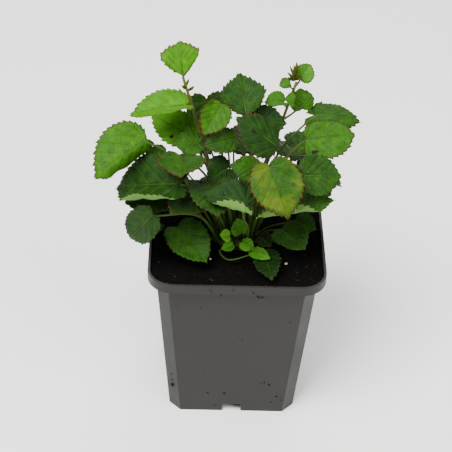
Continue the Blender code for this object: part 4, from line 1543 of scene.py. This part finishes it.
@dataclass(frozen=True)
class RootCrown:
    """The low knot that all the stalks rise from, set with the stubs of older ones."""

    stubs: int = 22
    stub_steps: int = 6
    stub_mm: tuple[float, float] = (0.9, 0.35)
    lean: float = 0.12

    def build(self) -> None:
        """Model the crown and dress it."""
        rng = random.Random(5)
        finish = StalkFinish("woody_crown", "#3c4a18", "#2c1a0c", 0.5).material()
        deselect()
        bpy.ops.mesh.primitive_uv_sphere_add(segments=64, ring_count=32, radius=1.0)
        crown = bpy.context.object
        for vertex in crown.data.vertices:
            lump = 1 + 0.07 * noise.noise(vertex.co * 3.0) + 0.04 * noise.noise(vertex.co * 8.0)
            vertex.co = (vertex.co * lump * CROWN_RADII + CROWN_CENTRE) * MM + POT_AXIS
        bpy.ops.object.shade_smooth()
        crown.data.materials.append(finish)
        pieces = [crown]
        for _ in range(self.stubs):
            angle, share = rng.uniform(0, math.tau), rng.uniform(0.2, 0.9)
            x, y = CROWN_RADII.x * share * math.cos(angle), CROWN_RADII.y * share * math.sin(angle)
            z = CROWN_RADII.z * math.sqrt(1 - share**2) - 0.5
            foot = np.array(CROWN_CENTRE) + [x, y, z]
            tip = foot + [x * self.lean, y * self.lean, rng.uniform(1.5, 4.0)]
            line = smooth_curve((foot, (foot + tip) / 2, tip), self.stub_steps)
            pieces.append(tube("stub", line, np.linspace(*self.stub_mm, self.stub_steps), finish))
        hand_over(join(pieces, "root_crown_grown"), Slot.CROWN, "root_crown")


# ------------------------------------------------------------------------- stage


@dataclass(frozen=True)
class Stage:
    """A pale floor, soft studio light and the camera."""

    distance: float = 0.740
    pitch: float = 37.7
    yaw: float = 1.5
    roll: float = 2.2
    lens: float = 113.9
    target: tuple[float, float, float] = (-5.7, 0.0, 100.3)
    board_mm: float = 50 / 3
    lit_height: float = 0.12
    room_light: float = 0.3

    def camera(self) -> None:
        """Look down on the object from the front."""
        pitch, yaw, roll = (math.radians(a) for a in (self.pitch, self.yaw, self.roll))
        flat = math.cos(pitch)
        ahead = Vector((math.sin(yaw) * flat, math.cos(yaw) * flat, -math.sin(pitch)))
        level = Vector((math.cos(yaw), -math.sin(yaw), 0.0))
        upright = level.cross(ahead)
        right = level * math.cos(roll) + upright * math.sin(roll)
        top = upright * math.cos(roll) - level * math.sin(roll)
        data = bpy.data.cameras.new("camera")
        data.sensor_width = 36.0
        data.lens = self.lens
        data.clip_start, data.clip_end = 0.01, 20.0
        camera = bpy.data.objects.new("camera", data)
        eye = Vector(self.target) * MM + POT_AXIS - ahead * self.distance
        turn = Matrix((right, top, -ahead)).transposed().to_4x4()
        camera.matrix_world = Matrix.Translation(eye) @ turn
        bpy.context.scene.collection.objects.link(camera)
        bpy.context.scene.camera = camera

    def floor(self) -> None:
        """A wide pale floor under the pot."""
        deselect()
        bpy.ops.mesh.primitive_plane_add(size=8.0, location=(0, 0, POT_LOW[2]))
        floor = bpy.context.object
        floor.name = "studio_floor"
        settle(floor)
        graph = Graph.in_space("matt_white_board")
        share = graph.spread(graph.noise(self.board_mm), 0.0, 1.0, 0.0, 0.1)
        graph.colour(graph.blend(share, "#f6f6f4", "#efefec"))
        graph.fix(Roughness=0.8)
        floor.data.materials.append(graph.material)

    def lights(self) -> None:
        """A large soft key from above and in front, two fills and a bright room."""
        centre = POT_AXIS + Vector((0, 0, self.lit_height))
        for name, place, size, watts in (
            ("key", (-0.45, -0.55, 1.25), 0.8, 52.0),
            ("fill", (0.9, -0.7, 0.7), 0.9, 14.0),
            ("back", (0.2, 1.0, 1.1), 0.9, 16.0),
        ):
            data = bpy.data.lights.new(name, "AREA")
            data.size = size
            data.energy = watts
            lamp = bpy.data.objects.new(name, data)
            lamp.location = centre + Vector(place)
            lamp.rotation_euler = (-Vector(place)).to_track_quat("-Z", "Y").to_euler()
            bpy.context.scene.collection.objects.link(lamp)
        world = bpy.data.worlds.new("bright_room")
        world.use_nodes = True
        room = world.node_tree.nodes["Background"]
        room.inputs["Color"].default_value = (1.0, 1.0, 1.0, 1.0)
        room.inputs["Strength"].default_value = self.room_light
        bpy.context.scene.world = world

    def build(self) -> None:
        """Set the whole stage."""
        self.camera()
        self.floor()
        self.lights()


def main() -> None:
    """Build the stage and every piece in order."""
    Stage().build()
    NurseryPot().build()
    PottingMix().build()
    RootCrown().build()
    Plant().build()
    deselect()


if __name__ == "__main__":
    main()
